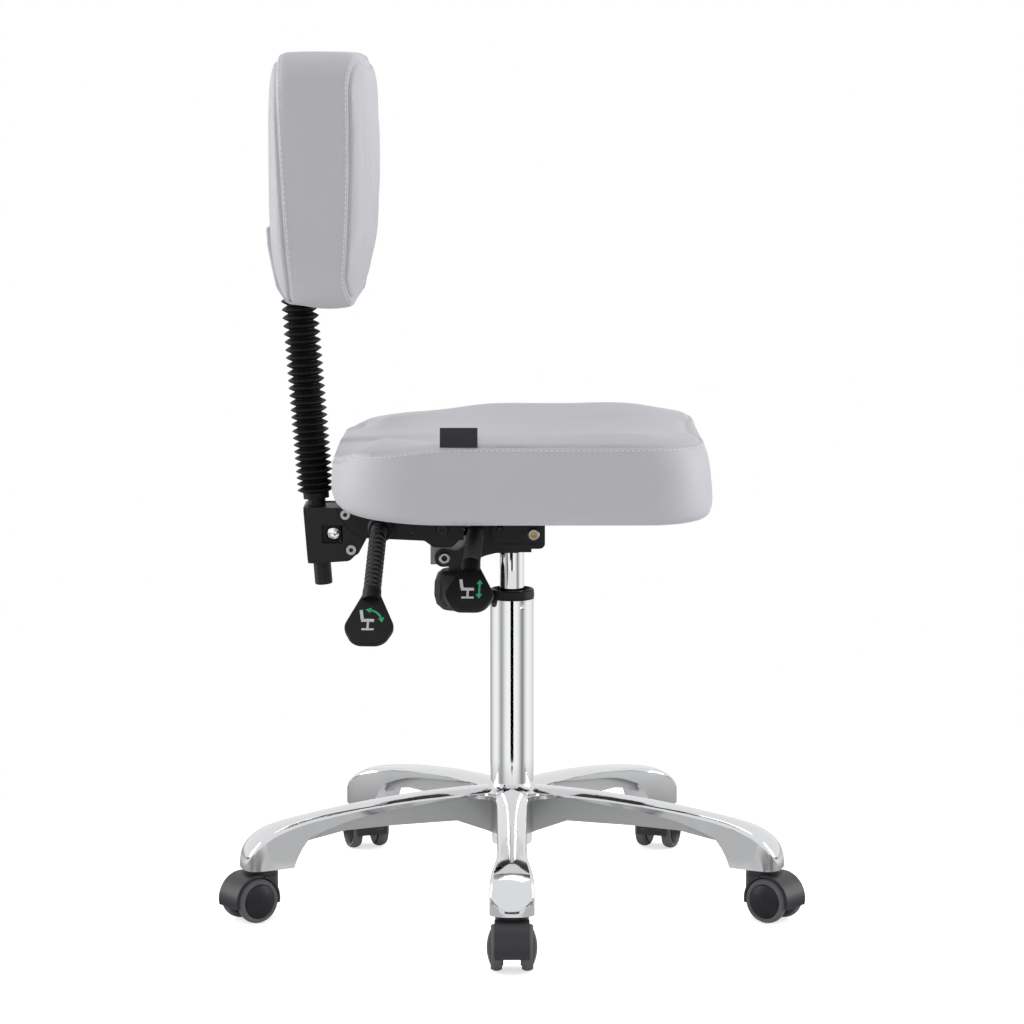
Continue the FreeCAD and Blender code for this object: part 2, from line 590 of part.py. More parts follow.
# Channel: top plate with ears, two side flanges with slot and lobe, rear neck for the bracket
top_under = PLATE_TOP - STEEL_T
lobe_bolt_z = LOBE_Z + 21
flange_in = FLANGE_OUT - STEEL_T
flange_line = [(CHANNEL_REAR, PLATE_TOP), (CHANNEL_REAR, FLANGE_REAR_Z + 3),
               (LOBE_X - 20, FLANGE_REAR_Z),
               (LOBE_X - 10, LOBE_Z), (LOBE_X + 11, LOBE_Z), (LOBE_X + 19, FLANGE_REAR_Z + 1),
               (LIFT_X + 15, FLANGE_REAR_Z + 1), (LIFT_X + 18, FLANGE_FRONT_Z),
               (CHANNEL_FRONT, FLANGE_FRONT_Z),
               (CHANNEL_FRONT, PLATE_TOP)]
flange = plate(flange_line, [0, 4, 6, 8, 8, 6, 2, 4, 6, 0], flange_in, FLANGE_OUT)
lip = box(LIFT_X + 24, CHANNEL_FRONT - 7, FLANGE_OUT - 0.5, FLANGE_OUT + 1.2, FLANGE_FRONT_Z,
          FLANGE_FRONT_Z + 5)
flange = flange.fuse(lip)
slot_low = cyl(STOP_R + 0.9, 20, V(STOP_X, flange_in - 5, STOP_Z), ACROSS)
slot_high = cyl(STOP_R + 0.9, 20, V(STOP_X, flange_in - 5, STOP_Z + 7), ACROSS)
slot_mid = box(STOP_X - STOP_R - 0.9, STOP_X + STOP_R + 0.9, flange_in - 5, flange_in + 15, STOP_Z,
               STOP_Z + 7)
flange = flange.cut([cyl(PIVOT_BOLT_R + FIT, 20, V(PIVOT_X, flange_in - 5, PIVOT_Z), ACROSS),
                     slot_low, slot_high, slot_mid,
                     cyl(SEAT_BOLT_R, 20, V(LOBE_X, flange_in - 5, lobe_bolt_z), ACROSS)])
near = flange.mirror(V(0, 0, 0), ACROSS)
near = near.cut([box(LIFT_X - 17, LIFT_X + 15, -FLANGE_OUT - 12, 18 - FLANGE_OUT, LIFT_Z - 36,
                     top_under),
                 cyl(2.5, 20, V(LOBE_X - 34, -FLANGE_OUT - 5, PLATE_TOP - 27.5), ACROSS),
                 cyl(LEVER_R + 5, 40, V(TILT_X, -FLANGE_OUT - 12, TILT_Z), ACROSS)])
roof = box(CHANNEL_REAR, CHANNEL_FRONT, -FLANGE_OUT, FLANGE_OUT, top_under, PLATE_TOP)
ear_x = [CHANNEL_REAR + 60, CHANNEL_FRONT - 22]
ears = []
ear_holes = []
seat_bolts = []
for x in ear_x:
    for s in (-1, 1):
        ear = cyl(12, STEEL_T, V(x, s * SEAT_BOLT_Y, top_under))
        y0, y1 = sorted((s * (FLANGE_OUT - 1), s * SEAT_BOLT_Y))
        ears += [ear, box(x - 12, x + 12, y0, y1, top_under, PLATE_TOP)]
        ear_holes.append(cyl(SEAT_BOLT_R, 30, V(x, s * SEAT_BOLT_Y, top_under - 10)))
        head = socket_head(6.5, HEAD_H, V(x, s * SEAT_BOLT_Y, top_under), V(0, 0, -1))
        shank = cyl(SEAT_BOLT_R, STEEL_T + BOARD_T - 3, V(x, s * SEAT_BOLT_Y, top_under))
        seat_bolts.append(head.fuse(shank).removeSplitter().Solids[0])
neck_out = BRACKET_OUT - STEEL_T
neck_line = [(CHANNEL_REAR - 27, PLATE_TOP - 0.5), (CHANNEL_REAR - 27, PLATE_TOP - 11),
             (CHANNEL_REAR - 24, PLATE_TOP - 55),
             (CHANNEL_REAR - 9, PLATE_TOP - 55), (CHANNEL_REAR + STEEL_T, FLANGE_REAR_Z + 3),
             (CHANNEL_REAR + STEEL_T, PLATE_TOP - 0.5)]
neck = plate(neck_line, [0, 3, 4, 6, 0, 0], neck_out - STEEL_T, neck_out)
bolt_up = (CHANNEL_REAR - 22.5, PLATE_TOP - 8)
bolt_low = (CHANNEL_REAR - 16, PLATE_TOP - 48)
for x, z in (bolt_up, bolt_low):
    neck = neck.cut(cyl(BACK_BOLT_R, 20, V(x, neck_out - 10, z), ACROSS))
end_wall = box(CHANNEL_REAR, CHANNEL_REAR + STEEL_T, -FLANGE_OUT, FLANGE_OUT, FLANGE_REAR_Z + 4,
               PLATE_TOP)
window = box(-26, 18, -20, 20, top_under - 5, PLATE_TOP + 5)
channel = roof.fuse(ears + [flange, near, both_sides(neck), end_wall]).cut(ear_holes + [window])
nodes["seat_channel"] = channel.removeSplitter()

lobe_bolts = []
for s in (-1, 1):
    way = V(0, s, 0)
    head = socket_head(7, HEAD_H, V(LOBE_X, s * FLANGE_OUT, lobe_bolt_z), way)
    shank = cyl(SEAT_BOLT_R, STEEL_T + 1, V(LOBE_X, s * FLANGE_OUT, lobe_bolt_z), V(0, -s, 0))
    lobe_bolts.append(head.fuse(shank).removeSplitter().Solids[0])
back_bolts = []
for x, z in (bolt_up, bolt_low):
    for s in (-1, 1):
        head = cyl(5.5, 3.5, V(x, s * (BRACKET_OUT + 1.5), z), V(0, s, 0))
        shank = cyl(BACK_BOLT_R, STEEL_T * 2 + 1.5, V(x, s * (BRACKET_OUT + 1.5), z), V(0, -s, 0))
        back_bolts.append(head.fuse(shank).removeSplitter().Solids[0])
nodes["frame_bolts"] = Part.makeCompound(seat_bolts + lobe_bolts + back_bolts)


# Levers: bent rod, ribbed sleeve and spade-shaped paddle, drawn in one upright plane
def lever(x, y, z, inner, neck_u, bend_u, end_u, drop, fall):
    """Rod, sleeve and paddle from distances along the lever and the falls on the way."""
    end_z = z - drop

    def at(u, h):
        return V(0, -u, h)

    slope = math.atan2(z - end_z, end_u - bend_u)
    trim = BEND_R * math.tan(slope / 2)
    way = V(0, -math.cos(slope), -math.sin(slope))
    corner = at(bend_u, z)
    arc_a = at(bend_u - trim, z)
    arc_c = corner + way * trim
    centre = at(bend_u - trim, z - BEND_R)
    arc_b = centre + V(0, -math.sin(slope / 2), math.cos(slope / 2)) * BEND_R
    tip = at(end_u, end_z) + way * 12
    path = Part.Wire([Part.makeLine(at(inner, z), arc_a), arc(arc_a, arc_b, arc_c),
                      Part.makeLine(arc_c, tip)])
    ring = Part.Wire(Part.Circle(at(inner, z), V(0, -1, 0), LEVER_R).toShape())
    bar = path.makePipeShell([ring], True, False)

    start = arc_c + way * 1.0
    length = (at(end_u, end_z) - start).Length
    turn = FreeCAD.Placement(start, FreeCAD.Rotation(UP, way))
    cover = ring_stack(ribs(0, length, SLEEVE_RIBS, SLEEVE_R, SLEEVE_ROOT_R))
    cover = cover.cut(cyl(LEVER_R + FIT, length + 20, V(0, 0, -10)))
    cover.Placement = turn
    neck_path = Part.Wire([Part.makeLine(at(neck_u, z), arc_a), arc(arc_a, arc_b, arc_c),
                           Part.makeLine(arc_c, start)])
    neck_ring = Part.Wire(Part.Circle(at(neck_u, z), V(0, -1, 0), SLEEVE_ROOT_R).toShape())
    room_ring = Part.Wire(Part.Circle(at(neck_u, z), V(0, -1, 0), LEVER_R + FIT).toShape())
    neck = neck_path.makePipeShell([neck_ring], True, False)
    folds = []
    for k in range(SLEEVE_NECK_RIBS):
        turned = slope * (k + 0.5) / SLEEVE_NECK_RIBS
        axis = V(0, -math.cos(turned), -math.sin(turned))
        spot = centre + V(0, -math.sin(turned), math.cos(turned)) * BEND_R
        fold_line = [(0, -1.8), (SLEEVE_ROOT_R - 0.7, -1.8), (NECK_FOLD_R, -0.5), (NECK_FOLD_R, 0.5),
                     (SLEEVE_ROOT_R - 0.7, 1.8), (0, 1.8)]
        folds.append(spun(fold_line, spot, axis))
    neck = neck.fuse(folds).cut(neck_path.makePipeShell([room_ring], True, False))
    cover = cover.fuse(neck)
    cover = max(cover.Solids, key=lambda s: s.Volume)

    first = at(end_u, end_z)
    last = at(end_u + PADDLE_RUN, end_z - fall)
    face_way = (last - first).normalize()
    reach = (last - first).Length
    wide = PADDLE_W / 2
    spade = [V(-SLEEVE_R, 0, 0), V(-SLEEVE_R, 6, 0), V(-wide - 1.5, reach * 0.70, 0),
             V(-wide * 0.62, reach + 1, 0),
             V(wide * 0.62, reach + 1, 0), V(wide + 1.5, reach * 0.70, 0), V(SLEEVE_R, 6, 0),
             V(SLEEVE_R, 0, 0)]
    wire = outline(spade, [0, 18, 17, 17, 17, 17, 18, 0])
    blade = Part.Face(wire).extrude(UP * PADDLE_T)
    rim = [e for e in blade.Edges if e.BoundBox.ZLength < 0.01 and e.BoundBox.YMax > 1]
    blade = blade.makeFillet(1.6, rim)
    blade.translate(V(0, 0, -PADDLE_T / 2))
    collar = cyl(SLEEVE_R + 0.5, 14, V(0, -0.01, 0), V(0, 1, 0))
    blade = blade.fuse(collar)
    normal = V(1, 0, 0).cross(face_way)
    frame = FreeCAD.Matrix(1, face_way.x, normal.x, first.x, 0, face_way.y, normal.y, first.y,
                           0, face_way.z, normal.z, first.z, 0, 0, 0, 1)
    blade.Placement = FreeCAD.Placement(frame)
    cutter = Part.Wire([Part.makeLine(arc_c, tip)]).makePipeShell(
        [Part.Wire(Part.Circle(arc_c, way, LEVER_R + FIT).toShape())], True, False)
    end_face = cyl(40, 40, first, V(0, 0, 0) - way)
    blade = blade.cut([cutter, end_face])
    shapes = [bar, cover, blade.removeSplitter()]
    for shape in shapes:
        shape.rotate(V(0, 0, 0), UP, -LEVER_TURN)
        shape.translate(V(x, y, 0))
    return shapes


lift_bar, lift_grip, lift_blade = lever(LIFT_X, LIFT_PIVOT_Y, LIFT_Z, -20, LIFT_BEND - 24, LIFT_BEND,
                                        LIFT_OUT,
                                        LIFT_DROP, LIFT_FALL)
finger = box(LIFT_X - 4, 5, -9, 4, finger_z, LIFT_Z + 2.5)
nodes["lift_rod"] = lift_bar.fuse(finger).removeSplitter()
nodes["lift_sleeve"] = lift_grip
nodes["lift_paddle"] = lift_blade

tilt_bar, tilt_grip, tilt_blade = lever(TILT_X, -FLANGE_OUT, TILT_Z, TONGUE_IN - FLANGE_OUT,
                                        TILT_BOSS_LEN - 2.1,
                                        TILT_BEND, TILT_OUT,
                                        TILT_DROP, TILT_FALL)
tongue = box(TILT_X - 5, TILT_X + 5, -TONGUE_IN - 6, 8 - TONGUE_IN, TILT_Z - 9, TILT_Z + 3)
nodes["tilt_rod"] = tilt_bar.fuse(tongue).removeSplitter()
nodes["tilt_sleeve"] = tilt_grip
nodes["tilt_paddle"] = tilt_blade
tilt_boss = spun([(LEVER_R + SLACK + 0.6, 0), (LEVER_R + 5 - FIT, 0), (LEVER_R + 5 - FIT, STEEL_T),
                  (TILT_BOSS_R, STEEL_T),
                  (TILT_BOSS_R, TILT_BOSS_LEN - 2), (TILT_BOSS_R - 2, TILT_BOSS_LEN),
                  (LEVER_R + SLACK + 0.6, TILT_BOSS_LEN)])
tilt_boss.Placement = FreeCAD.Placement(V(TILT_X, -flange_in, TILT_Z),
                                        FreeCAD.Rotation(UP, V(0, -1, 0)))
nodes["tilt_boss"] = tilt_boss


# Post frame: along the leaning axis from the point where it crosses POST_Z
def lean(shape):
    shape.rotate(V(0, 0, 0), ACROSS, -POST_LEAN)
    shape.translate(V(POST_X, 0, POST_Z))
    return shape


def post_at(z):
    return POST_X - math.tan(math.radians(POST_LEAN)) * (z - POST_Z)


# Bracket: two cheeks with a raised rear part, rear wall, window for the button
wall_in = POST_R + 1.0
wall_out = wall_in + STEEL_T
rear_top = (post_at(BRACKET_TOP) - wall_out, BRACKET_TOP)
rear_low = (post_at(BRACKET_BOTTOM) - wall_out, BRACKET_BOTTOM)
bracket_line = [rear_top, rear_low, (CHANNEL_REAR - 18, BRACKET_BOTTOM + 3),
                (CHANNEL_REAR - 7, BRACKET_BOTTOM + 14),
                (CHANNEL_REAR - 0.5, BRACKET_BOTTOM + 30), (CHANNEL_REAR - 0.5, BRACKET_TOP)]
cheek_b = plate(bracket_line, [3, 5, 8, 8, 6, 4], neck_out, BRACKET_OUT)
raised_line = [rear_top, rear_low, (CHANNEL_REAR - 18, BRACKET_BOTTOM + 3),
               (CHANNEL_REAR - 7, BRACKET_BOTTOM + 14),
               (CHANNEL_REAR - 2, BRACKET_BOTTOM + 28.5), (CHANNEL_REAR - 19, BRACKET_BOTTOM + 38),
               (CHANNEL_REAR - 28, BRACKET_BOTTOM + 50), (CHANNEL_REAR - 34, BRACKET_TOP)]
raised = plate(raised_line, [3, 5, 8, 8, 5, 9, 9, 3], BRACKET_OUT - 0.5, BRACKET_OUT + 1.5)
cheek_b = cheek_b.fuse(raised)
for x, z in (bolt_up, bolt_low):
    cheek_b = cheek_b.cut(cyl(BACK_BOLT_R, 20, V(x, neck_out - 5, z), ACROSS))
    cheek_b = cheek_b.cut(cyl(6, 20, V(x, BRACKET_OUT + 1.5, z), ACROSS))
hatch = box(BUTTON_X - 13, BUTTON_X + 10.5, -BRACKET_OUT - 5, -neck_out + 3, BUTTON_Z - 11,
            BUTTON_Z + 10)
rear_line = [rear_top, rear_low, (rear_low[0] + STEEL_T, rear_low[1]),
             (rear_top[0] + STEEL_T, rear_top[1])]
rear_wall = plate(rear_line, 0, -neck_out - 1, neck_out + 1)
bracket = rear_wall.fuse([cheek_b, cheek_b.mirror(V(0, 0, 0), ACROSS)]).cut(hatch)
nodes["back_bracket"] = bracket.removeSplitter()

guide_top = BRACKET_TOP - 1
guide_low = BRACKET_BOTTOM + 2
guide_front = CHANNEL_REAR - 29
guide_line = [(post_at(guide_top) - wall_in + FIT, guide_top),
              (post_at(guide_low) - wall_in + FIT, guide_low),
              (guide_front, guide_low), (guide_front, guide_top)]
guide = plate(guide_line, [0, 0, 4, 4], -neck_out + FIT, neck_out - FIT)
guide = guide.cut([lean(cyl(POST_R + FIT, 300, V(0, 0, -150))),
                   cyl(BUTTON_R + FIT, 40, V(BUTTON_X, -neck_out - 5, BUTTON_Z), ACROSS).common(
                       box(BUTTON_X - 99, BUTTON_X + 99, -100, -POST_R - 1, BUTTON_Z - 99,
                           BUTTON_Z + 99))])
nodes["guide_bush"] = guide.removeSplitter()

button = cyl(BUTTON_R, neck_out - POST_R - 4.5, V(BUTTON_X, -neck_out, BUTTON_Z), ACROSS)
button_ball = 12.0
dome_h = button_ball - math.sqrt(button_ball ** 2 - BUTTON_R ** 2)
dome = Part.makeSphere(button_ball, V(BUTTON_X, -neck_out - dome_h + button_ball, BUTTON_Z))
dome = dome.common(box(BUTTON_X - 99, BUTTON_X + 99, -100, -neck_out, BUTTON_Z - 99, BUTTON_Z + 99))
nodes["height_button"] = button.fuse(dome).removeSplitter()

post = cyl(POST_R, POST_TOP - POST_BOTTOM, V(0, 0, POST_BOTTOM))
post = post.cut(cyl(POST_R - POST_WALL, POST_TOP, V(0, 0, POST_BOTTOM + 6)))
foot_edge = [e for e in post.Edges if e.BoundBox.ZMax < POST_BOTTOM + 0.1]
post = post.makeFillet(2.5, foot_edge)
back_plate = box(POST_R - 1.2, POST_R + 1.8, -PLATE_HALF, PLATE_HALF, POST_TOP - 92, POST_TOP - 5)
post = post.fuse(back_plate).cut(cyl(POST_R - POST_WALL, POST_TOP, V(0, 0, POST_BOTTOM + 6)))
nodes["back_post"] = lean(post.removeSplitter())

# Bellows: ribbed sleeve with wider folds at the top, cuffs and a plain bore
low = BELLOWS_LOW + CUFF_LEN - 6.5
circles = [(low - CUFF_LEN, BELLOWS_ROOT_R + 0.6), (low - 0.5, BELLOWS_ROOT_R + 0.6)]
circles += ribs(low, BELLOWS_HIGH - low, BELLOWS_RIBS, BELLOWS_R, BELLOWS_ROOT_R, PITCH_GROWTH)
circles.append((BELLOWS_HIGH + CUFF_LEN, BELLOWS_ROOT_R))
sleeve = ring_stack(circles)
sleeve = sleeve.cut(cyl(BELLOWS_BORE_R, 400, V(0, 0, -50)))
nodes["back_bellows"] = lean(sleeve)


# Backrest: side band with a crowned front and rear, drawn in towards the edges
def panel(x, side, top, bottom, corner):
    """Upright rounded outline at one X, drawn in by the given amounts."""
    half = BACK_HALF - side
    points = [V(x, -half, BACK_LOW + bottom), V(x, half, BACK_LOW + bottom),
              V(x, half, BACK_HIGH - top), V(x, -half, BACK_HIGH - top)]
    return outline(points, corner)


front_depth = BACK_FRONT - BAND_FRONT
rear_depth = BAND_REAR - BACK_REAR
front = loft([panel(BAND_FRONT, 0, 0, 0, BACK_CORNER),
              panel(BAND_FRONT + front_depth * 0.25, 2, 1.5, 3, BACK_CORNER - 1),
              panel(BAND_FRONT + front_depth * 0.42, 4, 5, 14, BACK_CORNER - 2),
              panel(BAND_FRONT + front_depth * 0.69, 11, 15, 47, BACK_CORNER - 6),
              panel(BAND_FRONT + front_depth * 0.90, 27, 33, 78, BACK_CORNER - 14),
              panel(BACK_FRONT, 56, 72, 110, BACK_CORNER - 26)])
rear = loft([panel(BAND_REAR, 0, 0, 8, BACK_CORNER),
             panel(BAND_REAR - rear_depth * 0.5, 7, 8, 26, BACK_CORNER - 3),
             panel(BAND_REAR - rear_depth * 0.88, 24, 26, 60, BACK_CORNER - 10),
             panel(BACK_REAR, 50, 52, 100, BACK_CORNER - 20)])
band = loft([panel(BAND_REAR, 0, 0, 8, BACK_CORNER),
             panel((BAND_FRONT + BAND_REAR) / 2, -2, -1, -1, BACK_CORNER + 2),
             panel(BAND_FRONT, 0, 0, 0, BACK_CORNER)])
back = band.fuse([front, rear])

cover_line = [(BAND_REAR + 30, BACK_LOW + 1), (BAND_REAR + 1, BACK_LOW + 4),
              (BACK_REAR + 8, BACK_LOW + 22),
              (BACK_REAR - 1, COVER_TOP - 22), (BACK_REAR - 2.5, COVER_TOP),
              (BACK_REAR + COVER_T, COVER_TOP),
              (BACK_REAR + 9, COVER_TOP - 30), (BACK_REAR + 13, BACK_LOW + 26),
              (BAND_REAR + 3, BACK_LOW + 9),
              (BAND_REAR + 30, BACK_LOW + 6)]
cover = plate(cover_line, [0, 10, 16, 20, 0.5, 0.5, 16, 12, 6, 0], -COVER_HALF, COVER_HALF)
post_room = lean(cyl(BELLOWS_ROOT_R + SLACK, 90, V(0, 0, BELLOWS_HIGH - 12)))
cover = cover.cut(post_room)
cover_room = plate(cover_line, [0, 10, 16, 20, 0.5, 0.5, 16, 12, 6, 0], -COVER_HALF - SEAT_GAP,
                   COVER_HALF + SEAT_GAP)
outer_room = plate([(BAND_REAR + 30.3, BACK_LOW - 20), (BACK_REAR - 34, BACK_LOW - 20),
                    (BACK_REAR - 34, COVER_TOP + SEAT_GAP),
                    (BACK_REAR + COVER_T + SEAT_GAP, COVER_TOP + SEAT_GAP),
                    (BACK_REAR + 9.3, COVER_TOP - 30),
                    (BACK_REAR + 13.3, BACK_LOW + 26), (BAND_REAR + 3.3, BACK_LOW + 9.3),
                    (BAND_REAR + 30.3, BACK_LOW + 6.3)], [0, 0, 0, 0, 16, 12, 6, 0],
                   -COVER_HALF - SEAT_GAP, COVER_HALF + SEAT_GAP)
shaft_room = lean(cyl(POST_R + SLACK, 300, V(0, 0, POST_TOP + 3 - 300)))
plate_room = lean(box(POST_R - 1.7, POST_R + 2.3, -PLATE_HALF - 0.5, PLATE_HALF + 0.5, POST_TOP - 92.5,
                      POST_TOP - 4.5))
back = back.cut([outer_room, post_room, shaft_room, plate_room])
nodes["backrest_cushion"] = max(back.removeSplitter().Solids, key=lambda s: s.Volume)
nodes["back_cover"] = max(cover.removeSplitter().Solids, key=lambda s: s.Volume)


# Seat: outline drawn in at bottom and rim, top shaped by a relief lofted from rear to front
def pan(z, side, rear_in, front_in, corner):
    """Flat rounded outline of the seat at one height, drawn in by the given amounts."""
    points = [V(SEAT_REAR + rear_in, -SEAT_HALF + side, z), V(SEAT_FRONT - front_in, -SEAT_HALF + side,
                                                              z),
              V(SEAT_FRONT - front_in, SEAT_HALF - side, z), V(SEAT_REAR + rear_in, SEAT_HALF - side,
                                                               z)]
    rear_corner = corner + 22
    return outline(points, [rear_corner, corner, corner, rear_corner])


seat_low = loft([pan(PLATE_TOP, 22, 52, 22, SEAT_CORNER - 16),
                 pan(PLATE_TOP + 5, 8, 26, 7, SEAT_CORNER - 6),
                 pan(PLATE_TOP + 14, 1, 8, 1, SEAT_CORNER), pan(PLATE_TOP + 30, 0, 0, 0, SEAT_CORNER),
                 pan(PLATE_TOP + 62, 2, 1, 3, SEAT_CORNER), pan(SEAT_RIM - 8, 6, 5, 8, SEAT_CORNER),
                 pan(SEAT_RIM + 2, 12, 11, 14, SEAT_CORNER - 2),
                 pan(SEAT_RIM + 9, 21, 21, 23, SEAT_CORNER - 6),
                 pan(SEAT_RIM + 20, 36, 38, 38, SEAT_CORNER - 14)])


def relief(x, edge, ridge, slope, dish, ridge_in=48):
    """Cross line of the top at one X: edge, side ridge, inner slope and dish, from the rim's height."""
    edge += SEAT_RIM
    ridge += SEAT_RIM
    slope += SEAT_RIM
    dish += SEAT_RIM
    out = SEAT_HALF + 15
    ridge_y = SEAT_HALF - ridge_in
    dish_y = SEAT_HALF - 132
    line = []
    points = [V(x, -out, edge - 6), V(x, -(out + ridge_y) / 2, (edge + ridge) / 2 + 2.5),
              V(x, -ridge_y, ridge),
              V(x, -(ridge_y + dish_y) / 2, slope), V(x, -dish_y, dish + 0.35 * (slope - dish)),
              V(x, 0, dish)]
    line.append(arc(points[0], points[1], points[2]))
    line.append(arc(points[2], points[3], points[4]))
    line.append(arc(points[4], points[5], V(x, dish_y, points[4].z)))
    line.append(arc(V(x, dish_y, points[4].z), V(x, -points[3].y, slope), V(x, ridge_y, ridge)))
    line.append(arc(V(x, ridge_y, ridge), V(x, -points[1].y, points[1].z), V(x, out, edge - 6)))
    floor_z = PLATE_TOP - 10
    line.append(Part.makeLine(V(x, out, edge - 6), V(x, out, floor_z)))
    line.append(Part.makeLine(V(x, out, floor_z), V(x, -out, floor_z)))
    line.append(Part.makeLine(V(x, -out, floor_z), V(x, -out, edge - 6)))
    return Part.Wire(line)


top = loft([relief(SEAT_REAR - 10, -12, -11, -14, -17, 100), relief(SEAT_REAR + 40, -11, -8, -10.5, -14,
                                                                    95),
            relief(SEAT_REAR + 104, -8.3, -0.5, -7, -13, 60), relief(SEAT_REAR + 132, -8, 3, -5, -12.6),
            relief(SEAT_REAR + 162, -8.8, 8.2, -2, -12), relief(SEAT_REAR + 200, -9, 10, 0, -11),
            relief(SEAT_REAR + 270, -10, 10, 3, -7.5), relief(SEAT_REAR + 345, -10, 9.5, 6.5, 2, 52),
            relief(SEAT_REAR + 395, -7.5, 1.5, 2, 0, 85),
            relief(SEAT_FRONT + 10, -11, -8, -7, -8, 100)])
seat = seat_low.common(top)
board_points = [V(SEAT_REAR + BOARD_INSET + 30, -SEAT_HALF + BOARD_INSET, PLATE_TOP),
                V(SEAT_FRONT - BOARD_INSET, -SEAT_HALF + BOARD_INSET, PLATE_TOP),
                V(SEAT_FRONT - BOARD_INSET, SEAT_HALF - BOARD_INSET, PLATE_TOP),
                V(SEAT_REAR + BOARD_INSET + 30, SEAT_HALF - BOARD_INSET, PLATE_TOP)]
board = Part.Face(outline(board_points, SEAT_CORNER - 20)).extrude(UP * BOARD_T)
seat = seat.cut(board)
bolt_rooms = []
for x in ear_x:
    for s in (-1, 1):
        bolt_rooms.append(cyl(SEAT_BOLT_R, BOARD_T - 3, V(x, s * SEAT_BOLT_Y, PLATE_TOP)))
nodes["seat_board"] = board.cut(bolt_rooms)
nodes["seat_cushion"] = max(seat.Solids, key=lambda s: s.Volume)

# Casters: housing with hood, stem and axle, two hubs and two tyres each
axle_z = WHEEL_R
stem_low = axle_z + 9
hood = cyl(HOOD_R, 2 * HOOD_HALF, V(TRAIL, -HOOD_HALF, axle_z), ACROSS)
neck_low = axle_z + 1
far = TRAIL + 2 * HOOD_R
hood = hood.cut(plate([(-far, neck_low), (-far, -far), (far, -far), (far, axle_z - 5),
                       (TRAIL, axle_z - 8)], 0, -30, 30))
neck_block = cyl(NECK_R, NECK_TOP - neck_low, V(0, 0, neck_low))
inner_half = HOOD_HALF - 4
shank_block = box(-NECK_R, 0, -inner_half, inner_half, neck_low,
                  NECK_TOP - 6).common(cyl(NECK_R, 60, V(0, 0, 0)))
housing = hood.fuse([neck_block, shank_block])
collar_cut = spun([(NECK_R - 0.8, NECK_TOP - 6), (NECK_R + 3, NECK_TOP - 6),
                   (NECK_R + 3, NECK_TOP - 4.8),
                   (NECK_R - 0.8, NECK_TOP - 4.8)])
arches = []
for s in (-1, 1):
    arch_r = WHEEL_R + ARCH_GAP
    arches.append(cyl(arch_r, 40, V(TRAIL, s * CORE_HALF, axle_z), V(0, s, 0)))
housing = housing.cut(arches + [collar_cut, cyl(AXLE_R, 80, V(TRAIL, -40, axle_z), ACROSS),
                                cyl(STEM_R, 60, V(0, 0, stem_low))])
housing = max(housing.removeSplitter().Solids, key=lambda s: s.Volume)

axle_half = TYRE_IN + TYRE_W - 1
axle = cyl(AXLE_R, 2 * axle_half, V(TRAIL, -axle_half, axle_z), ACROSS)
stem = cyl(STEM_R, STEM_TOP - stem_low, V(0, 0, stem_low))
washer = cyl(STEM_R + 4, BOOT_Z - NECK_TOP - SEAT_GAP, V(0, 0, NECK_TOP))
stem = stem.fuse(washer).removeSplitter()

tyre_out = TYRE_IN + TYRE_W
hub_in = CORE_HALF + 0.7
cap_edge = tyre_out - 1.0
cap_end = tyre_out + CAP_BULGE
bore = AXLE_R + FIT
dome_a = HUB_RADIUS - 1.2
dome_z = cap_edge + 1.4
ball_r = (dome_a ** 2 + (cap_end - dome_z) ** 2) / (2 * (cap_end - dome_z))


def on_ball(r):
    return V(r, 0, cap_end - ball_r + math.sqrt(ball_r ** 2 - r ** 2))


hub_wire = Part.Wire([
    Part.makeLine(V(bore, 0, hub_in), V(HUB_RADIUS, 0, hub_in)),
    Part.makeLine(V(HUB_RADIUS, 0, hub_in), V(HUB_RADIUS, 0, cap_edge)),
    Part.makeLine(V(HUB_RADIUS, 0, cap_edge), V(dome_a, 0, dome_z)),
    arc(V(dome_a, 0, dome_z), on_ball(dome_a * 0.5), on_ball(2.5)),
    Part.makeLine(on_ball(2.5), V(0, 0, on_ball(2.5).z)),
    Part.makeLine(V(0, 0, on_ball(2.5).z), V(0, 0, axle_half + SEAT_GAP)),
    Part.makeLine(V(0, 0, axle_half + SEAT_GAP), V(bore, 0, axle_half + SEAT_GAP)),
    Part.makeLine(V(bore, 0, axle_half + SEAT_GAP), V(bore, 0, hub_in)),
])
wheel_hub = Part.Face(hub_wire).revolve(V(0, 0, 0), UP, 360)
tyre_wire = Part.Wire([
    Part.makeLine(V(HUB_RADIUS, 0, TYRE_IN), V(WHEEL_R - 2, 0, TYRE_IN)),
    arc(V(WHEEL_R - 2, 0, TYRE_IN), V(WHEEL_R, 0, TYRE_IN + TYRE_W / 2), V(WHEEL_R - 2, 0, tyre_out)),
    Part.makeLine(V(WHEEL_R - 2, 0, tyre_out), V(HUB_RADIUS, 0, tyre_out - 1.0)),
    Part.makeLine(V(HUB_RADIUS, 0, tyre_out - 1.0), V(HUB_RADIUS, 0, TYRE_IN)),
])
tyre = Part.Face(tyre_wire).revolve(V(0, 0, 0), UP, 360)
sides = {"left": V(0, 1, 0), "right": V(0, -1, 0)}
for k in range(ARMS):
    group = {"housing": housing, "pins": Part.makeCompound([stem, axle])}
    for side in sides:
        turn = FreeCAD.Placement(V(TRAIL, 0, axle_z), FreeCAD.Rotation(UP, sides[side]))
        for name, shape in (("hub_", wheel_hub), ("tyre_", tyre)):
            wheel = shape.copy()
            wheel.Placement = turn
            group[name + side] = wheel
    at = on_arm(arm_angles[k], STEM_CIRCLE, 0)
    for name in group:
        shape = group[name].copy()
        shape.rotate(V(0, 0, 0), UP, CASTER_TURNS[k])
        shape.translate(at)
        nodes["caster_%d_%s" % (k + 1, name)] = shape

